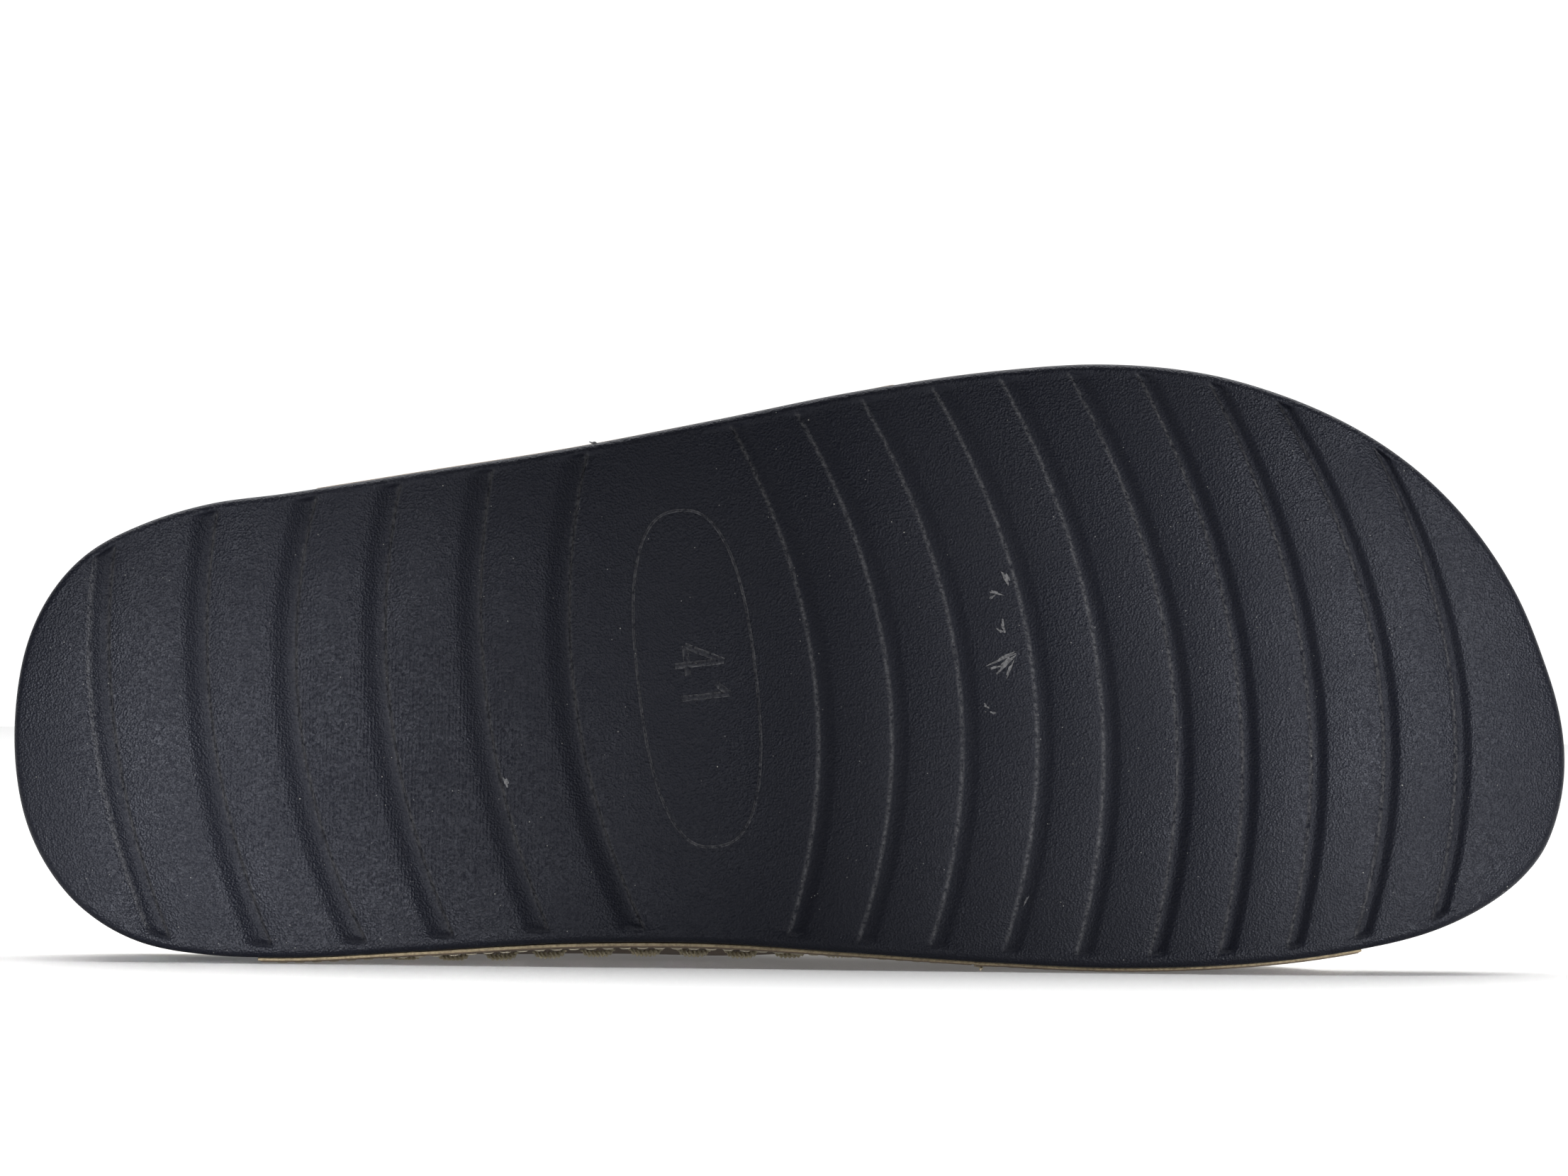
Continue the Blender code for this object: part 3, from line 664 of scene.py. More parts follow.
def groove_rows(groove, towards):
    """Rows of one groove: a steep wall on the arch side, a short floor and a soft shoulder."""
    width = HEEL_GROOVE_WIDTH if towards < 0 else FOREFOOT_GROOVE_WIDTH
    wall_width = HEEL_WALL_WIDTH if towards < 0 else FOREFOOT_WALL_WIDTH
    floor_end = wall_width + GROOVE_FLOOR_SHARE * width
    shoulder_end = SHOULDER_END_SHARE * width
    bulge = groove.middle_share - (groove.lateral_share + groove.medial_share) / 2.0
    down_wall = np.linspace(0.0, wall_width, WALL_STEPS + 1)
    past_wall = np.linspace(wall_width, LAST_ROW_SHARE * width, SHOULDER_STEPS)[1:]
    rows = []
    for away in np.concatenate([LAND_EDGE_STEPS, down_wall, past_wall]):
        shoulder = min(max((away - floor_end) / (shoulder_end - floor_end), 0.0), 1.0)
        wall = float(eased(away / wall_width))
        depth = wall if away < wall_width else 0.5 + 0.5 * math.cos(math.pi * shoulder)
        # Pale line down the steep wall: worn rubber with a painted highlight where the wall catches the
        # light
        edge = max(0.0, 1.0 - abs(away - 0.5 * wall_width) / EDGE_LINE_REACH)
        # The rearmost groove gets the same pale line, worn rubber with a painted highlight, at its far
        # edge too
        if groove is HEEL_GROOVES[0]:
            edge = max(edge, 1.0 - abs(away - width) / EDGE_LINE_REACH)
        rounding = math.exp(-max(-away, away - width, 0.0) / LAND_ROUND_REACH)
        moved = towards * away / SOLE_LENGTH
        ends = (groove.lateral_share + moved, groove.medial_share + moved)
        rows.append(TreadRow(*ends, bulge, 0.0, depth, edge, rounding))
    return rows if towards > 0 else rows[::-1]


def land_rows(first, second):
    """Rows of the raised land between two rows, rounded off towards the grooves beside it."""
    gap = max(abs(second.lateral - first.lateral), abs(second.medial - first.medial)) * SOLE_LENGTH
    steps = max(2, round(gap / LAND_PITCH))
    rows = []
    for step in range(1, steps):
        share = step / steps
        ends = [a + (b - a) * share for a, b in zip(first[:4], second[:4])]
        rounding = first.rounding * math.exp(-share * gap / LAND_ROUND_REACH)
        rounding += second.rounding * math.exp(-(1.0 - share) * gap / LAND_ROUND_REACH)
        rows.append(TreadRow(*ends, 0.0, 0.0, rounding))
    return rows


def tread_rows():
    rows = [TreadRow(*HEEL_END, 0.0, 1.0, 0.0, 0.0, 0.0)]
    grooves = [groove_rows(groove, -1) for groove in HEEL_GROOVES]
    grooves += [groove_rows(groove, 1) for groove in FOREFOOT_GROOVES]
    for groove in grooves + [[TreadRow(*TOE_END, 0.0, 1.0, 0.0, 0.0, 0.0)]]:
        rows += land_rows(rows[-1], groove[0]) + groove
    return rows


def tread_shares(rows):
    """Places across each row, closer near the rims where a groove runs out."""
    start, stop = rows.ends(TREAD_EDGE_RADIUS)
    width = np.linalg.norm(stop - start, axis=1)[:, None]
    rim = np.array(RIM_COLUMNS)[None, :] / width
    full = rim[:, -1:]
    middle = full + (1.0 - 2.0 * full) * np.linspace(0.0, 1.0, MIDDLE_COLUMNS + 1)[None, 1:-1]
    return np.concatenate([rim, middle, 1.0 - rim[:, ::-1]], axis=1), width


def dome_lift(points, rim):
    """How far the tread falls back towards its rim."""
    tree = KDTree(len(rim))
    for number, point in enumerate(rim):
        tree.insert((point[0], point[1], 0.0), number)
    tree.balance()
    flat = points.reshape(-1, 2)
    distance = np.array([tree.find((x, y, 0.0))[2] for x, y in flat]).reshape(points.shape[:-1])
    return rim_dome(points[..., 0]) * np.exp(-distance / TREAD_DOME_REACH)


def rim_dome(x):
    share = x / SOLE_LENGTH
    heel = eased((HEEL_DOME_END_SHARE - share) / HEEL_DOME_FADE)
    return TREAD_DOME * np.maximum(heel, eased((share - BALL_DOME_START_SHARE) / BALL_DOME_FADE))


def moulded_rows_share(points):
    """Where the tread shows fine moulded rows: a soft patch on the heel lands."""
    away = (points - np.array(MOULDED_PATCH)) / np.array(MOULDED_REACH)
    return np.exp(-np.sum(away ** 2, axis=-1) ** 1.5)


def sole_shell():
    table = np.array(tread_rows())
    rows = Rows(*table[:, :4].T)
    depth, edge, rounding = table[:, 4:, None].transpose(1, 0, 2)
    shares, width = tread_shares(rows)
    flat = rows.points(shares, TREAD_EDGE_RADIUS)
    run_out = eased(shares * width / LATERAL_RUN_OUT)
    run_out = run_out * eased(((1.0 - shares) * width - MEDIAL_RIM) / MEDIAL_RUN_OUT)
    from_shallow = (flat[..., 0] / SOLE_LENGTH - SHALLOW_GROOVES_SHARE) / SHALLOW_GROOVES_SPREAD
    groove_depth = GROOVE_DEPTH * (1.0 - SHALLOWER_BY * np.exp(-from_shallow ** 4))
    relief = (groove_depth * depth + LAND_ROUND * rounding) * run_out
    lift = ground_lift(flat[..., 0]) + dome_lift(flat, perimeter(flat)) + relief
    shell = Shell()
    land = moulded_rows_share(flat) * (1.0 - depth)
    tread = shell.add(raised(flat, lift), (edge * run_out, land, depth * run_out))
    shell.grid(tread)
    turns = rows.rim_turns(shares)
    ring = perimeter(tread)
    for points in side_rings(turns):
        after = shell.add(points)
        shell.band(ring, after)
        ring = after
    close_ladder(shell, ring, tread.shape)
    return shell


def rim_height(points):
    return ground_lift(points[:, 0]) + rim_dome(points[:, 0])


def side_rings(turns):
    """Rings from the rounded tread edge up the side and over the top edge."""
    rings = []
    for angle in np.linspace(0.0, math.pi / 2.0, TREAD_EDGE_RINGS + 1)[1:]:
        points = outline_point(turns, np.full(turns.shape, TREAD_EDGE_RADIUS * (1.0 - math.sin(angle))))
        rings.append(raised(points, rim_height(points) + TREAD_EDGE_RADIUS * (1.0 - math.cos(angle))))
    drawn_in = top_inset(outline_point(turns, np.zeros(turns.shape)))
    for share in np.linspace(0.0, 1.0, SIDE_WALL_RINGS + 1)[1:]:
        points = outline_point(turns, drawn_in * share)
        foot = rim_height(points) + TREAD_EDGE_RADIUS
        rings.append(raised(points, foot + (sole_top(points[:, 0]) - TOP_EDGE_ROUND - foot) * share))
    for angle in np.linspace(0.0, math.pi / 2.0, TOP_EDGE_RINGS + 1)[1:]:
        points = outline_point(turns, drawn_in + TOP_EDGE_ROUND * (1.0 - math.cos(angle)))
        rings.append(raised(points, sole_top(points[:, 0]) - TOP_EDGE_ROUND * (1.0 - math.sin(angle))))
    for reach in TOP_REACHES:
        points = outline_point(turns, np.maximum(drawn_in, 0.0) + TOP_EDGE_ROUND + reach)
        rings.append(raised(points, sole_top(points[:, 0])))
    return rings


def close_ladder(shell, ring, shape):
    """Close a ring with rungs across it and one flat face at each end."""
    rows, columns = shape
    toe_start, toe_stop = columns + rows - 2, 2 * columns + rows - 2
    medial = ring[columns - 1:toe_start + 1]
    lateral = np.concatenate([ring[:1], ring[:-(rows - 1):-1], ring[toe_stop - 1:toe_stop]])
    shell.grid(np.stack([lateral, medial]))
    shell.polygon(ring[:columns])
    shell.polygon(ring[toe_start:toe_stop])


# Footbed

def footbed_rise(x, across):
    """Extra height of the footbed: the heel cup and the medial arch support."""
    share = x / SOLE_LENGTH
    cup = np.abs(2.0 * across - 1.0) ** 3 * eased((HEEL_CUP_END_SHARE - share) / HEEL_CUP_FADE)
    medial = eased((across - ARCH_SUPPORT_ACROSS) / (1.0 - ARCH_SUPPORT_ACROSS))
    arch = medial * np.exp(-((share - ARCH_SUPPORT_SHARE) / ARCH_SUPPORT_SPREAD) ** 2)
    return HEEL_CUP * cup + ARCH_SUPPORT * arch


def footbed_shell():
    towards = np.linspace(0.0, 1.0, FOOTBED_HALF_ROWS + 1)
    heel = [HEEL_END[side] + (WAIST[side] - HEEL_END[side]) * towards[:-1] for side in (0, 1)]
    toe = [WAIST[side] + (TOE_END[side] - WAIST[side]) * towards for side in (0, 1)]
    wrap = np.concatenate([1.0 - towards[:-1], towards])
    rows = Rows(np.append(heel[0], toe[0]), np.append(heel[1], toe[1]), 0.0 * wrap, wrap)
    shares = np.tile(np.linspace(0.0, 1.0, FOOTBED_COLUMNS + 1), (len(wrap), 1))
    setback = SEAT_DEPTH + TOP_EDGE_ROUND
    flat = rows.points(shares, setback + FOOTBED_EDGE_ROUND)
    over = sole_top(flat[..., 0]) + PIECE_GAP + FOOTBED_THICKNESS
    shell = Shell()
    top = shell.add(raised(flat, over + footbed_rise(flat[..., 0], shares)))
    shell.grid(top)
    turns, across = rows.rim_turns(shares), perimeter(shares)
    ring = perimeter(top)
    levels = [(step / FOOTBED_EDGE_RINGS, 1.0) for step in range(1, FOOTBED_EDGE_RINGS + 1)]
    for rounded, level in levels + [(1.0, level) for level in FOOTBED_LOWER_RINGS]:
        angle = rounded * math.pi / 2.0
        inset = setback + FOOTBED_EDGE_ROUND * (1.0 - math.sin(angle))
        points = outline_point(turns, np.full(turns.shape, inset))
        under = sole_top(points[:, 0]) + PIECE_GAP
        rise = FOOTBED_THICKNESS + footbed_rise(points[:, 0], across)
        height = (rise - FOOTBED_EDGE_ROUND * (1.0 - math.cos(angle))) * level
        after = shell.add(raised(points, under + height))
        shell.band(ring, after, 1 if rounded == 1.0 else 0)
        ring = after
    close_ladder(shell, ring, top.shape)
    return shell


# Straps

def side_point(length_share, side, rise):
    """Points against the side of the sole: side is 1 on the medial side, -1 on the lateral."""
    x = length_share * SOLE_LENGTH
    low = ground_lift(x) + CUT_EDGE_HEIGHT
    z = low + (sole_top(x) - low) * rise
    edge = outline_point(side * turn_at(length_share), np.zeros(np.shape(length_share)))
    y = edge[..., 1] - side * (seat_inset(x, z, side) - SIDE_GAP)
    return np.stack([x, y, z], axis=-1)


def strap_surface(length_share, over_share):
    """Inside face of the straps: up one side of the sole, over the foot, down the other."""
    length_share, over_share = np.broadcast_arrays(length_share, over_share)
    medial = side_point(length_share, 1.0, np.clip(over_share / SIDE_SHARE, 0.0, 1.0))
    lateral = side_point(length_share, -1.0, np.clip((1.0 - over_share) / SIDE_SHARE, 0.0, 1.0))
    angle = np.clip(math.pi * (over_share - SIDE_SHARE) / (1.0 - 2.0 * SIDE_SHARE), 0.0, math.pi)
    reach = squared_off(np.cos(angle), SECTION_POWER)
    rise = squared_off(np.maximum(np.sin(angle), 0.0), SECTION_POWER)
    centre = (medial + lateral) / 2.0
    half = (medial[..., 1] - lateral[..., 1]) / 2.0
    flare = ARCH_FLARE * np.exp(-((length_share - FLARE_PLACE_SHARE) / FLARE_SPREAD_SHARE) ** 2)
    bulge = flare * FLARE_LEVEL * np.sin(angle) * np.maximum(0.0, np.cos(angle)) ** 3
    y = centre[..., 1] + half * reach + RIDGE_SHIFT * rise * rise + bulge
    places, heights = column_of(CROWN, "length_share"), column_of(CROWN, "height_share")
    crown = curve_through(places, heights, length_share)
    over = np.stack([centre[..., 0], y, centre[..., 2] + INSTEP_HEIGHT * crown * rise], axis=-1)
    near_medial = (over_share < SIDE_SHARE)[..., None]
    near_lateral = (over_share > 1.0 - SIDE_SHARE)[..., None]
    return np.where(near_medial, medial, np.where(near_lateral, lateral, over))


def strap_normal(length_share, over_share):
    """Direction out of the straps."""
    ahead = strap_surface(length_share + SMALL_SHARE, over_share)
    behind = strap_surface(length_share - SMALL_SHARE, over_share)
    later = strap_surface(length_share, np.minimum(over_share + SMALL_SHARE, 1.0))
    sooner = strap_surface(length_share, np.maximum(over_share - SMALL_SHARE, 0.0))
    return unit(np.cross(later - sooner, ahead - behind))


def strap_edge(name, over_share):
    return curve_through(column_of(STRAPS, "over_share"), column_of(STRAPS, name), over_share)


def leather_at(over_share):
    """Thickness of one strap, skived thin at both cut edges."""
    rise = eased(np.minimum(over_share, 1.0 - over_share) / SIDE_SHARE)
    edge = np.where(over_share < 0.5, SKIVED_EDGE, LATERAL_SKIVED_EDGE)
    return edge + (LEATHER - edge) * rise


def strap_lift(length_share, over_share, covers):
    """How far a strap lies off the inside face: the over strap rises over the under strap."""
    if not covers:
        return 0.0 * over_share
    ramp = OVERLAP_RAMP / SOLE_LENGTH
    past_front = (length_share - strap_edge("under_front", over_share)) / ramp
    past_rear = (strap_edge("under_rear", over_share) - length_share) / ramp
    near = 1.0 - eased(np.where(over_share < 0.5, past_front, past_rear))
    near_edge = np.minimum(over_share, 1.0 - over_share)
    rise = eased((near_edge - COVER_START_SHARE) / (COVER_FULL_SHARE - COVER_START_SHARE))
    return leather_at(over_share) * (near * rise) + OVERLAP_GAP * near


def crease_depth(length_share, over_share):
    """Soft troughs with a low ridge behind each, where the foot bends."""
    total = np.zeros(np.broadcast(length_share, over_share).shape)
    for crease in CREASES:
        along = over_share - crease.over_share
        across = (length_share - crease.length_share - crease.slant * along) / crease.spread
        fade = np.exp(-(along / crease.reach) ** 2)
        ridge = CREASE_RIDGE_SHARE * np.exp(-(across - CREASE_RIDGE_AWAY) ** 2)
        total += crease.depth * fade * (ridge - np.exp(-across ** 2))
    return total


def strap_shell(rear_name, front_name, covers):
    """One strap: an outer and an inner face joined by cut edges."""
    base = np.array(BASE_ROWS)
    even = np.linspace(FIRST_EVEN_ROW, 1.0 - FIRST_EVEN_ROW, STRAP_ROWS)
    over = np.concatenate([base, even, 1.0 - base[::-1]])[:, None]
    rear, front = strap_edge(rear_name, over), strap_edge(front_name, over)
    width = (front - rear) * SOLE_LENGTH
    edge = np.array(EDGE_COLUMNS)[None, :] / width
    steps = np.linspace(0.0, 1.0, STRAP_MIDDLE_COLUMNS + 1)[None, 1:-1]
    middle = edge[:, -1:] + (1.0 - 2.0 * edge[:, -1:]) * steps
    across = np.concatenate([edge, middle, 1.0 - edge[:, ::-1]], axis=1)
    length_share = rear + (front - rear) * across
    over = np.broadcast_to(over, length_share.shape)
    surface, normal = strap_surface(length_share, over), strap_normal(length_share, over)
    from_base = np.minimum(over, 1.0 - over) * STRAP_WAY
    from_edge = np.minimum(np.minimum(across, 1.0 - across) * width, from_base)
    rounded = CUT_EDGE_ROUND * (1.0 - eased(from_edge / CUT_EDGE_ROUND_WIDTH))
    leather = leather_at(over)
    lift = strap_lift(length_share, over, covers) + crease_depth(length_share, over)
    shell = Shell()
    outer = shell.add(surface + normal * (lift + leather - rounded)[..., None])
    inner = shell.add(surface + normal * (lift + INNER_ROUND_SHARE * rounded)[..., None])
    shell.grid(outer, 0)
    shell.grid(inner, 1, flip=True)
    shell.band(perimeter(outer), perimeter(inner), 2)
    return shell


# Stitches

def at_run(run, values, places):
    return np.stack([np.interp(places, run, values[:, axis]) for axis in range(3)], axis=-1)


def add_tubes(shell, centre, first, second, radius, sides):
    """Closed tubes along lines of centres, their rings spread over two directions."""
    angle = np.linspace(0.0, 2.0 * math.pi, sides, endpoint=False)[:, None]
    spokes = first[..., None, :] * np.cos(angle) + second[..., None, :] * np.sin(angle)
    numbers = shell.add(centre[..., None, :] + radius * spokes)
    for tube in numbers.reshape(-1, *numbers.shape[-2:]):
        shell.grid(np.concatenate([tube, tube[:, :1]], axis=1))
        shell.polygon(tube[0])
        shell.polygon(tube[-1])


def stitch_places(points, normals, sewing):
    """Places along every stitch of a line, with the way out and the way aside at each."""
    run = np.append(0.0, np.cumsum(np.linalg.norm(np.diff(points, axis=0), axis=1)))
    centres = (np.arange(int(run[-1] / sewing.pitch - FIRST_STITCH)) + FIRST_STITCH) * sewing.pitch
    share = np.linspace(-0.5, 0.5, sewing.rings)
    places = centres[:, None] + share * sewing.length
    ahead = at_run(run, points, places + LOOK_AHEAD) - at_run(run, points, places - LOOK_AHEAD)
    ahead = unit(ahead)
    normal = at_run(run, normals, places)
    normal = unit(normal - ahead * np.sum(normal * ahead, axis=-1, keepdims=True))
    return share, at_run(run, points, places), normal, np.cross(ahead, normal)


def add_stitches(shell, line, sewing):
    """Stitches along a line on a face: each rises out of the leather and dips back in."""
    share, middle, normal, aside = stitch_places(*line, sewing)
    spread = sewing.radius * (PLY_SPREAD if sewing.plies > 1 else 0.0)
    bow = (1.0 - np.abs(2.0 * share) ** 4)[:, None]
    rise = (spread + STITCH_RISE * sewing.radius) * bow
    middle = middle + normal * (rise - (spread + sewing.radius) * STITCH_SINK * (1.0 - bow))
    uneven = np.sin(WANDER_STEP * np.arange(len(middle)) + WANDER_START)[:, None, None]
    middle = middle + aside * sewing.wander * uneven
    radius = sewing.radius * (1.0 - STITCH_TAPER * np.abs(2.0 * share) ** 6)[:, None, None]
    for ply in range(sewing.plies):
        phase = 2.0 * math.pi * (sewing.twists * share + ply / sewing.plies)[:, None]
        centre = middle + spread * (normal * np.cos(phase) + aside * np.sin(phase))
        add_tubes(shell, centre, normal, aside, radius, sewing.sides)


def base_line(side, height, start, stop):
    """Line along the base of the straps, a height above the cut edge."""
    length_share = np.linspace(start, stop, BASE_LINE_POINTS)
    x = length_share * SOLE_LENGTH
    rise = height / (sole_top(x) - ground_lift(x) - CUT_EDGE_HEIGHT)
    over = rise * SIDE_SHARE
    over = over if side > 0 else 1.0 - over
    normal = strap_normal(length_share, over)
    return strap_surface(length_share, over) + normal * leather_at(over)[:, None], normal


def strap_line(name, towards, covers, start=EDGE_STITCHES[0], stop=EDGE_STITCHES[1]):
    """Line along one long edge of a strap, set back from it."""
    over = np.linspace(start, stop, EDGE_LINE_POINTS)
    length_share = strap_edge(name, over) + towards * STRAP_STITCH_SETBACK / SOLE_LENGTH
    normal = strap_normal(length_share, over)
    out = strap_lift(length_share, over, covers) + leather_at(over) + crease_depth(length_share, over)
    return strap_surface(length_share, over) + normal * out[:, None], normal


def machine_stitches():
    medial, lateral = STRAPS[0], STRAPS[-1]
    bases = [
        (1, medial.under_rear + BASE_END_GAP, medial.under_front - MEDIAL_JOIN_GAP),
        (1, medial.over_rear + MEDIAL_JOIN_GAP, medial.over_front - BASE_END_GAP),
        (-1, lateral.over_rear + BASE_END_GAP, lateral.over_front - LATERAL_JOIN_GAP),
        (-1, lateral.over_front + LATERAL_JOIN_GAP, lateral.under_front - BASE_END_GAP),
    ]
    lines = [base_line(side, MACHINE_STITCH_HEIGHT, start, stop) for side, start, stop in bases]
    lines += [
        strap_line("over_rear", 1, True),
        strap_line("over_front", -1, True),
        strap_line("under_rear", 1, False, stop=UNDER_REAR_STOP),
        strap_line("under_front", -1, False, start=UNDER_FRONT_START),
    ]
    shell = Shell()
    for line in lines:
        add_stitches(shell, line, MACHINE_SEWING)
    return shell


def hand_stitches():
    medial, lateral = STRAPS[0], STRAPS[-1]
    bases = [
        (1, medial.under_rear + HAND_HEEL_GAP, medial.over_front - HAND_END_GAP),
        (-1, lateral.over_rear + HAND_END_GAP, lateral.under_front - HAND_END_GAP),
    ]
    shell = Shell()
    for side, start, stop in bases:
        add_stitches(shell, base_line(side, HAND_STITCH_HEIGHT, start, stop), HAND_SEWING)
    return shell


def loose_thread():
    """End of thread left hanging where the two straps meet on the medial side."""
    steps = np.linspace(0.0, 1.0, LOOSE_THREAD_STEPS)
    side, down = [size * np.sin(turn * steps) for size, turn in (LOOSE_SIDE_CURL, LOOSE_DOWN_CURL)]
    out = np.linspace(*LOOSE_THREAD_OUT, LOOSE_THREAD_STEPS)
    curl = np.stack([side + LOOSE_THREAD_DRIFT * steps, out, down - LOOSE_THREAD_DROP * steps], axis=-1)
    points = strap_surface(np.array(STRAPS[0].under_front), np.array(LOOSE_THREAD_PLACE)) + curl
    ahead = unit(np.gradient(points, axis=0))
    first = unit(np.cross(ahead, np.array([1.0, 0.0, 0.0])))
    shell = Shell()
    add_tubes(shell, points, first, np.cross(ahead, first), LOOSE_THREAD_RADIUS, LOOSE_THREAD_SIDES)
    return shell


# Marks on the tread

def mark_point(along, up):
    """Place on the tread from how far along the reading direction and how far up."""
    reading = np.array([math.sin(MARK_TILT), math.cos(MARK_TILT)])
    upwards = np.array([math.cos(MARK_TILT), -math.sin(MARK_TILT)])
    return np.array(NUMBER_CORNER) + reading * along * MM + upwards * up * MM


def add_ridge(shell, line, ridge_width, closed, wear):
    """Low rounded ridge on the tread along a line of places, with a painted highlight making it paler
    along its edges.
    """
    line = np.asarray(line)
    if closed:
        ahead = np.roll(line, -1, axis=0) - np.roll(line, 1, axis=0)
    else:
        ahead = np.gradient(line, axis=0)
    aside = unit(np.stack([-ahead[:, 1], ahead[:, 0]], axis=-1))
    slope = min(MARK_SLOPE_LIMIT, MARK_SLOPE_WIDTH / ridge_width)
    across = np.array([-0.5, slope - 0.5, 0.0, 0.5 - slope, 0.5])
    height = MARK_HEIGHT * np.array(MARK_PROFILE)
    flat = line[:, None, :] + aside[:, None, :] * (across * ridge_width)[None, :, None]
    points = raised(flat, ground_lift(flat[..., 0]) - height[None, :])
    numbers = shell.add(points, (np.array(wear)[None, :], 0.0, 0.0))
    if closed:
        numbers = np.concatenate([numbers, numbers[:1]], axis=0)
    shell.grid(numbers)


def filled_in(first, second):
    """Points a short step apart along a straight stroke."""
    steps = max(1, round(float(np.linalg.norm(second - first)) / MARK_STEP))
    return [first + (second - first) * step / steps for step in range(steps + 1)]


def marks_shell():
    shell = Shell()
    angle = np.linspace(0.0, 2.0 * math.pi, OVAL_POINTS, endpoint=False)
    long_way = OVAL_HALF_LENGTH * squared_off(np.cos(angle), OVAL_POWER)
    short_way = OVAL_HALF_WIDTH * squared_off(np.sin(angle), OVAL_POWER)
    x = OVAL_CENTRE[0] + long_way * math.sin(MARK_TILT) + short_way * math.cos(MARK_TILT)
    y = OVAL_CENTRE[1] + long_way * math.cos(MARK_TILT) - short_way * math.sin(MARK_TILT)
    add_ridge(shell, np.stack([x, y], axis=-1), OVAL_LINE_WIDTH, True, OVAL_HIGHLIGHT)
    for stroke in NUMBER_STROKES:
        corners = [mark_point(along, up) for along, up in stroke]
        for first, second in zip(corners, corners[1:]):
            add_ridge(shell, filled_in(first, second), NUMBER_LINE_WIDTH, False, NUMBER_HIGHLIGHT)
    return shell


def scuffs_shell():
    """Thin ragged flecks lying on the tread."""
    shell = Shell()
    angle = np.linspace(0.0, 2.0 * math.pi, SCUFF_POINTS, endpoint=False)
    for number, scuff in enumerate(SCUFFS):
        waves = [size * np.sin(count * angle + change * number) for size, count, change in RAGGED_WAVES]
        ragged = 1.0 + sum(waves)
        long_way = scuff.length / 2.0 * np.cos(angle) * ragged
        short_way = scuff.width / 2.0 * np.sin(angle) * ragged
        x = scuff.along + long_way * math.cos(scuff.angle) - short_way * math.sin(scuff.angle)
        y = scuff.across + long_way * math.sin(scuff.angle) + short_way * math.cos(scuff.angle)
        flat = np.stack([x, y], axis=-1)
        numbers = shell.add(raised(flat, ground_lift(x) - SCUFF_LIFT))
        shell.polygon(numbers)
    return shell


# Materials

class Paint:
    """A material under construction."""

    def __init__(self, name, colour, roughness):
        self.material = bpy.data.materials.new(name)
        self.material.use_nodes = True
        self.tree = self.material.node_tree
        self.shader = self.tree.nodes["Principled BSDF"]
        self.colour = self.rgb(colour)
        self.shader.inputs["Roughness"].default_value = roughness
        self.place = self.node("ShaderNodeTexCoord").outputs["Object"]
        self.height = None

    def node(self, kind, **settings):
        made = self.tree.nodes.new(kind)
        for name, value in settings.items():
            setattr(made, name, value)
        return made

    def link(self, source, target):
        self.tree.links.new(source, target)

    def rgb(self, colour):
        made = self.node("ShaderNodeRGB")
        made.outputs[0].default_value = (*colour, 1.0)
        return made.outputs[0]

    def stretched(self, scale):
        mapping = self.node("ShaderNodeMapping")
        mapping.inputs["Scale"].default_value = scale
        self.link(self.place, mapping.inputs["Vector"])
        return mapping.outputs["Vector"]

    def noise(self, scale, detail=3.0, rough=0.5, place=None):
        made = self.node("ShaderNodeTexNoise")
        made.inputs["Scale"].default_value = scale
        made.inputs["Detail"].default_value = detail
        made.inputs["Roughness"].default_value = rough
        self.link(place or self.place, made.inputs["Vector"])
        return made.outputs["Fac"]

    def cells(self, scale):
        made = self.node("ShaderNodeTexVoronoi")
        made.inputs["Scale"].default_value = scale
        self.link(self.place, made.inputs["Vector"])
        return made.outputs["Distance"]

    def between(self, value, low, high, out_low=0.0, out_high=1.0):
        made = self.node("ShaderNodeMapRange", clamp=True)
        sockets = ("From Min", "From Max", "To Min", "To Max")
        for name, number in zip(sockets, (low, high, out_low, out_high)):
            made.inputs[name].default_value = number
        self.link(value, made.inputs["Value"])
        return made.outputs["Result"]

    def maths(self, operation, first, second):
        made = self.node("ShaderNodeMath", operation=operation)
        for socket, value in zip(made.inputs, (first, second)):
            if isinstance(value, (int, float)):
                socket.default_value = value
            else:
                self.link(value, socket)
        return made.outputs[0]

    def tint(self, amount, colour):
        """Mix another colour over the base where the amount is high."""
        mix = self.node("ShaderNodeMix", data_type="RGBA")
        self.link(amount, mix.inputs["Factor"])
        self.link(self.colour, mix.inputs["A"])
        mix.inputs["B"].default_value = (*colour, 1.0)
        self.colour = mix.outputs["Result"]

    def rise(self, value, height):
        """Add to the relief: a value of 1 stands out by a height in metres."""
        part = self.maths("MULTIPLY", value, height)
        self.height = part if self.height is None else self.maths("ADD", self.height, part)

    def done(self, roughness=None):
        self.link(self.colour, self.shader.inputs["Base Color"])
        if roughness is not None:
            self.link(roughness, self.shader.inputs["Roughness"])
        if self.height is not None:
            made = self.node("ShaderNodeBump")
            made.inputs["Strength"].default_value = 1.0
            made.inputs["Distance"].default_value = 1.0
            self.link(self.height, made.inputs["Height"])
            self.link(made.outputs["Normal"], self.shader.inputs["Normal"])
        return self.material


def moulded_dots(paint):
    """Fine rows of dots across the heel lands, left by the mould."""
    split = paint.node("ShaderNodeSeparateXYZ")
    paint.link(paint.place, split.inputs[0])
    phase = paint.maths("MULTIPLY", split.outputs["X"], 2.0 * math.pi / MOULDED_PITCH)
    rows = paint.between(paint.maths("SINE", phase, 0.0), -1.0, 1.0)
    return paint.maths("MULTIPLY", rows, paint.between(paint.noise(1500.0, 2.0), 0.40, 0.60))


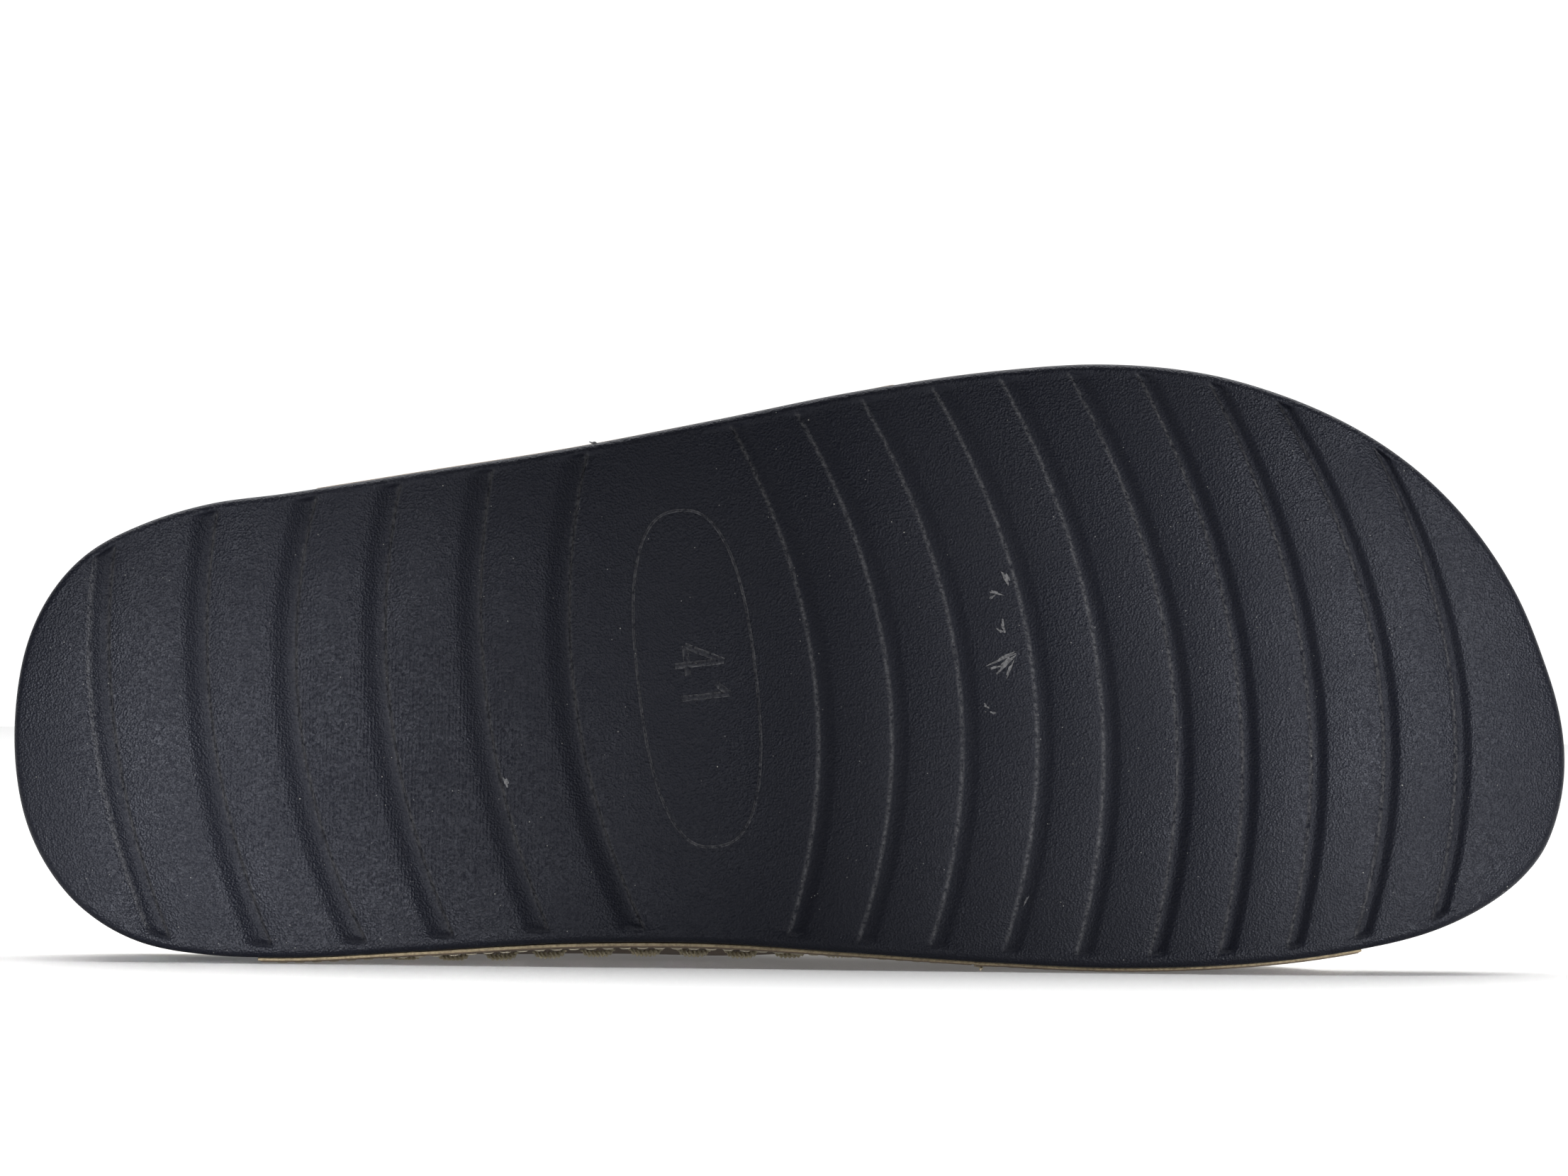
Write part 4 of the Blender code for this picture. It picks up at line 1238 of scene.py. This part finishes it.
def rubber():
    paint = Paint("black sole rubber", (0.0038, 0.0044, 0.0086), 0.5)
    paint.shader.inputs["Specular IOR Level"].default_value = 0.20
    paint.shader.inputs["Specular Tint"].default_value = (0.86, 0.89, 1.0, 1.0)
    split = paint.node("ShaderNodeSeparateXYZ")
    wear = paint.node("ShaderNodeAttribute", attribute_name="wear")
    paint.link(wear.outputs["Vector"], split.inputs[0])
    edge, moulded, groove = split.outputs
    patches = paint.between(paint.noise(28.0, 2.0), 0.35, 0.75, 0.0, 0.35)
    paint.tint(patches, (0.010, 0.0105, 0.0145))
    stipple = paint.between(paint.noise(3600.0, 2.0, 0.6), 0.52, 0.74)
    paint.tint(paint.maths("MULTIPLY", stipple, 0.55), (0.022, 0.022, 0.024))
    # Pale line on the sharp groove edges, worn rubber with a painted highlight; on the oval and number
    # ridges the pale edges are painted highlight only
    wear_and_highlight = paint.between(paint.noise(1700.0, 3.0, 0.7), 0.38, 0.66)
    paint.tint(paint.maths("MULTIPLY", paint.maths("MULTIPLY", edge, wear_and_highlight), 0.60), (0.17, 0.17, 0.175))
    paint.tint(dust(paint, 330.0, 0.026, 0.55), (0.34, 0.34, 0.31))
    paint.tint(dust(paint, 720.0, 0.050, 0.58), (0.20, 0.20, 0.19))
    paint.rise(paint.cells(2600.0), 0.00008)
    paint.rise(paint.noise(5200.0, 2.0), 0.00003)
    paint.rise(paint.noise(1800.0, 2.0), 0.00006)
    paint.rise(paint.maths("MULTIPLY", moulded, moulded_dots(paint)), 0.00007)
    roughness = paint.between(paint.noise(60.0, 3.0), 0.3, 0.7, 0.37, 0.46)
    roughness = paint.maths("ADD", roughness, paint.maths("MULTIPLY", groove, 0.10))
    return paint.done(roughness)


def dust(paint, scale, size, share):
    """Small pale specks scattered over the rubber."""
    specks = paint.between(paint.cells(scale), size, 1.6 * size, 1.0, 0.0)
    some = paint.between(paint.noise(scale / 3.7, 1.0), share, share + 0.05)
    return paint.maths("MULTIPLY", specks, some)


def strap_face():
    paint = Paint("brown strap leather", (0.215, 0.162, 0.117), 0.55)
    across = paint.stretched((1.0, 6.0, 6.0))
    streaks = paint.noise(160.0, 4.0, 0.6, across)
    paint.tint(paint.between(streaks, 0.35, 0.7, 0.0, 0.55), (0.110, 0.079, 0.055))
    paint.tint(paint.between(paint.noise(40.0, 2.0), 0.45, 0.7, 0.0, 0.3), (0.27, 0.21, 0.155))
    paint.rise(paint.cells(1100.0), 0.00006)
    paint.rise(streaks, 0.00018)
    return paint.done(paint.between(paint.noise(90.0), 0.3, 0.7, 0.5, 0.68))


def mottled(name, colour, roughness, pattern, levels, other):
    """A material whose colour turns to another where a noise pattern is high."""
    paint = Paint(name, colour, roughness)
    paint.tint(paint.between(paint.noise(*pattern), *levels), other)
    return paint


def strap_lining():
    dark = (0.26, 0.19, 0.12)
    levels = (0.35, 0.7, 0.0, 0.4)
    paint = mottled("tan strap lining", (0.36, 0.275, 0.185), 0.75, (120.0, 4.0), levels, dark)
    paint.rise(paint.noise(2200.0, 3.0), 0.00005)
    return paint.done()


def raw_edge():
    dark = (0.11, 0.085, 0.055)
    levels = (0.42, 0.68, 0.0, 0.75)
    fibres = (1500.0, 4.0, 0.7)
    paint = mottled("raw leather edge", (0.40, 0.325, 0.205), 0.85, fibres, levels, dark)
    paint.rise(paint.noise(*fibres), 0.00012)
    return paint.done()


def footbed_face():
    dark = (0.29, 0.205, 0.13)
    levels = (0.4, 0.7, 0.0, 0.4)
    paint = mottled("tan footbed leather", (0.40, 0.295, 0.19), 0.68, (22.0, 3.0), levels, dark)
    paint.rise(paint.cells(1400.0), 0.00005)
    paint.rise(paint.noise(300.0, 3.0), 0.00006)
    return paint.done()


def thread(name, colour):
    dark = tuple(0.62 * part for part in colour)
    paint = mottled(name, colour, 0.7, (1800.0, 3.0), (0.4, 0.7, 0.0, 0.5), dark)
    paint.rise(paint.noise(5000.0, 2.0), 0.00003)
    return paint.done()


def scuff_paint():
    dark = (0.03, 0.03, 0.035)
    levels = (0.42, 0.6, 0.0, 0.8)
    return mottled("pale scuff", (0.14, 0.14, 0.145), 0.6, (2500.0, 3.0), levels, dark).done()


# Studio

def glowing_white(name, glow):
    material = bpy.data.materials.new(name)
    material.use_nodes = True
    inputs = material.node_tree.nodes["Principled BSDF"].inputs
    inputs["Base Color"].default_value = STUDIO_WHITE
    inputs["Roughness"].default_value = STUDIO_ROUGHNESS
    inputs["Emission Color"].default_value = (1.0, 1.0, 1.0, 1.0)
    inputs["Emission Strength"].default_value = glow
    return material


def studio_panel(name, corners, material):
    mesh = bpy.data.meshes.new(name)
    mesh.from_pydata(corners, [], [(0, 1, 2, 3)])
    mesh.materials.append(material)
    made = bpy.data.objects.new(name, mesh)
    bpy.context.scene.collection.objects.link(made)


def add_light(light):
    data = bpy.data.lights.new(light.name, "AREA")
    data.shape = "RECTANGLE"
    data.size, data.size_y = light.size
    data.energy = light.power
    data.spread = math.radians(light.spread)
    made = bpy.data.objects.new(light.name, data)
    made.location = light.place
    towards = Vector(light.aim) - Vector(light.place)
    made.rotation_euler = towards.to_track_quat("-Z", "Y").to_euler()
    bpy.context.scene.collection.objects.link(made)


def make_studio():
    studio_panel("floor", FLOOR_CORNERS, glowing_white("white floor", FLOOR_GLOW))
    studio_panel("backdrop", BACKDROP_CORNERS, glowing_white("white backdrop", BACKDROP_GLOW))
    for light in LIGHTS:
        add_light(light)
    world = bpy.data.worlds.new("studio")
    world.use_nodes = True
    background = world.node_tree.nodes["Background"]
    background.inputs["Color"].default_value = (1.0, 1.0, 1.0, 1.0)
    background.inputs["Strength"].default_value = WORLD_GLOW
    bpy.context.scene.world = world
    bpy.context.scene.view_settings.view_transform = "Standard"


def make_camera(place):
    aim = Vector(place(np.array(PHOTO_AIM)))
    towards = Vector((0.0, math.cos(CAMERA_ELEVATION), -math.sin(CAMERA_ELEVATION)))
    right = (place.forward - towards * place.forward.dot(towards)).normalized()
    up = right.cross(towards)
    data = bpy.data.cameras.new("camera")
    data.sensor_width = CAMERA_SENSOR
    data.lens = CAMERA_SENSOR * CAMERA_DISTANCE / PHOTO_WIDTH
    camera = bpy.data.objects.new("camera", data)
    turn = Matrix((right, up, -towards)).transposed().to_4x4()
    camera.matrix_world = Matrix.Translation(aim - towards * CAMERA_DISTANCE) @ turn
    bpy.context.scene.collection.objects.link(camera)
    bpy.context.scene.camera = camera


def make_pieces(sole, place):
    black, edge = rubber(), raw_edge()
    leathers = [strap_face(), strap_lining(), edge]
    under = strap_shell("under_rear", "under_front", False)
    over = strap_shell("over_rear", "over_front", True)
    white = thread("white thread", (0.62, 0.57, 0.45))
    cream = thread("cream cord", (0.80, 0.73, 0.54))
    loose = thread("loose cord", (0.60, 0.52, 0.36))
    pieces = [
        (sole, "sole_unit", [black], "sole_rubber", "outsole"),
        (marks_shell(), "tread_marks", [black], "sole_rubber", None),
        (scuffs_shell(), "tread_scuffs", [scuff_paint()], "sole_rubber", None),
        (footbed_shell(), "footbed", [footbed_face(), edge], "footbed_leather", "insole"),
        (under, "under_strap", leathers, "strap_leather", "upper"),
        (over, "over_strap", leathers, "strap_leather", None),
        (machine_stitches(), "machine_stitches", [white], "strap_leather", None),
        (hand_stitches(), "hand_stitches", [cream], "strap_leather", None),
        (loose_thread(), "loose_thread", [loose], "strap_leather", None),
    ]
    for shell, name, materials, slot, node in pieces:
        piece = shell.make(name, place, materials, wear_and_highlight=black in materials)
        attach(piece, "root")
        if node:
            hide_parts(node)


def main():
    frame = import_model()
    sole = sole_shell()
    place = Placement(frame["record"], np.concatenate(sole.points))
    make_pieces(sole, place)
    make_studio()
    make_camera(place)
    bpy.context.view_layer.update()


main()
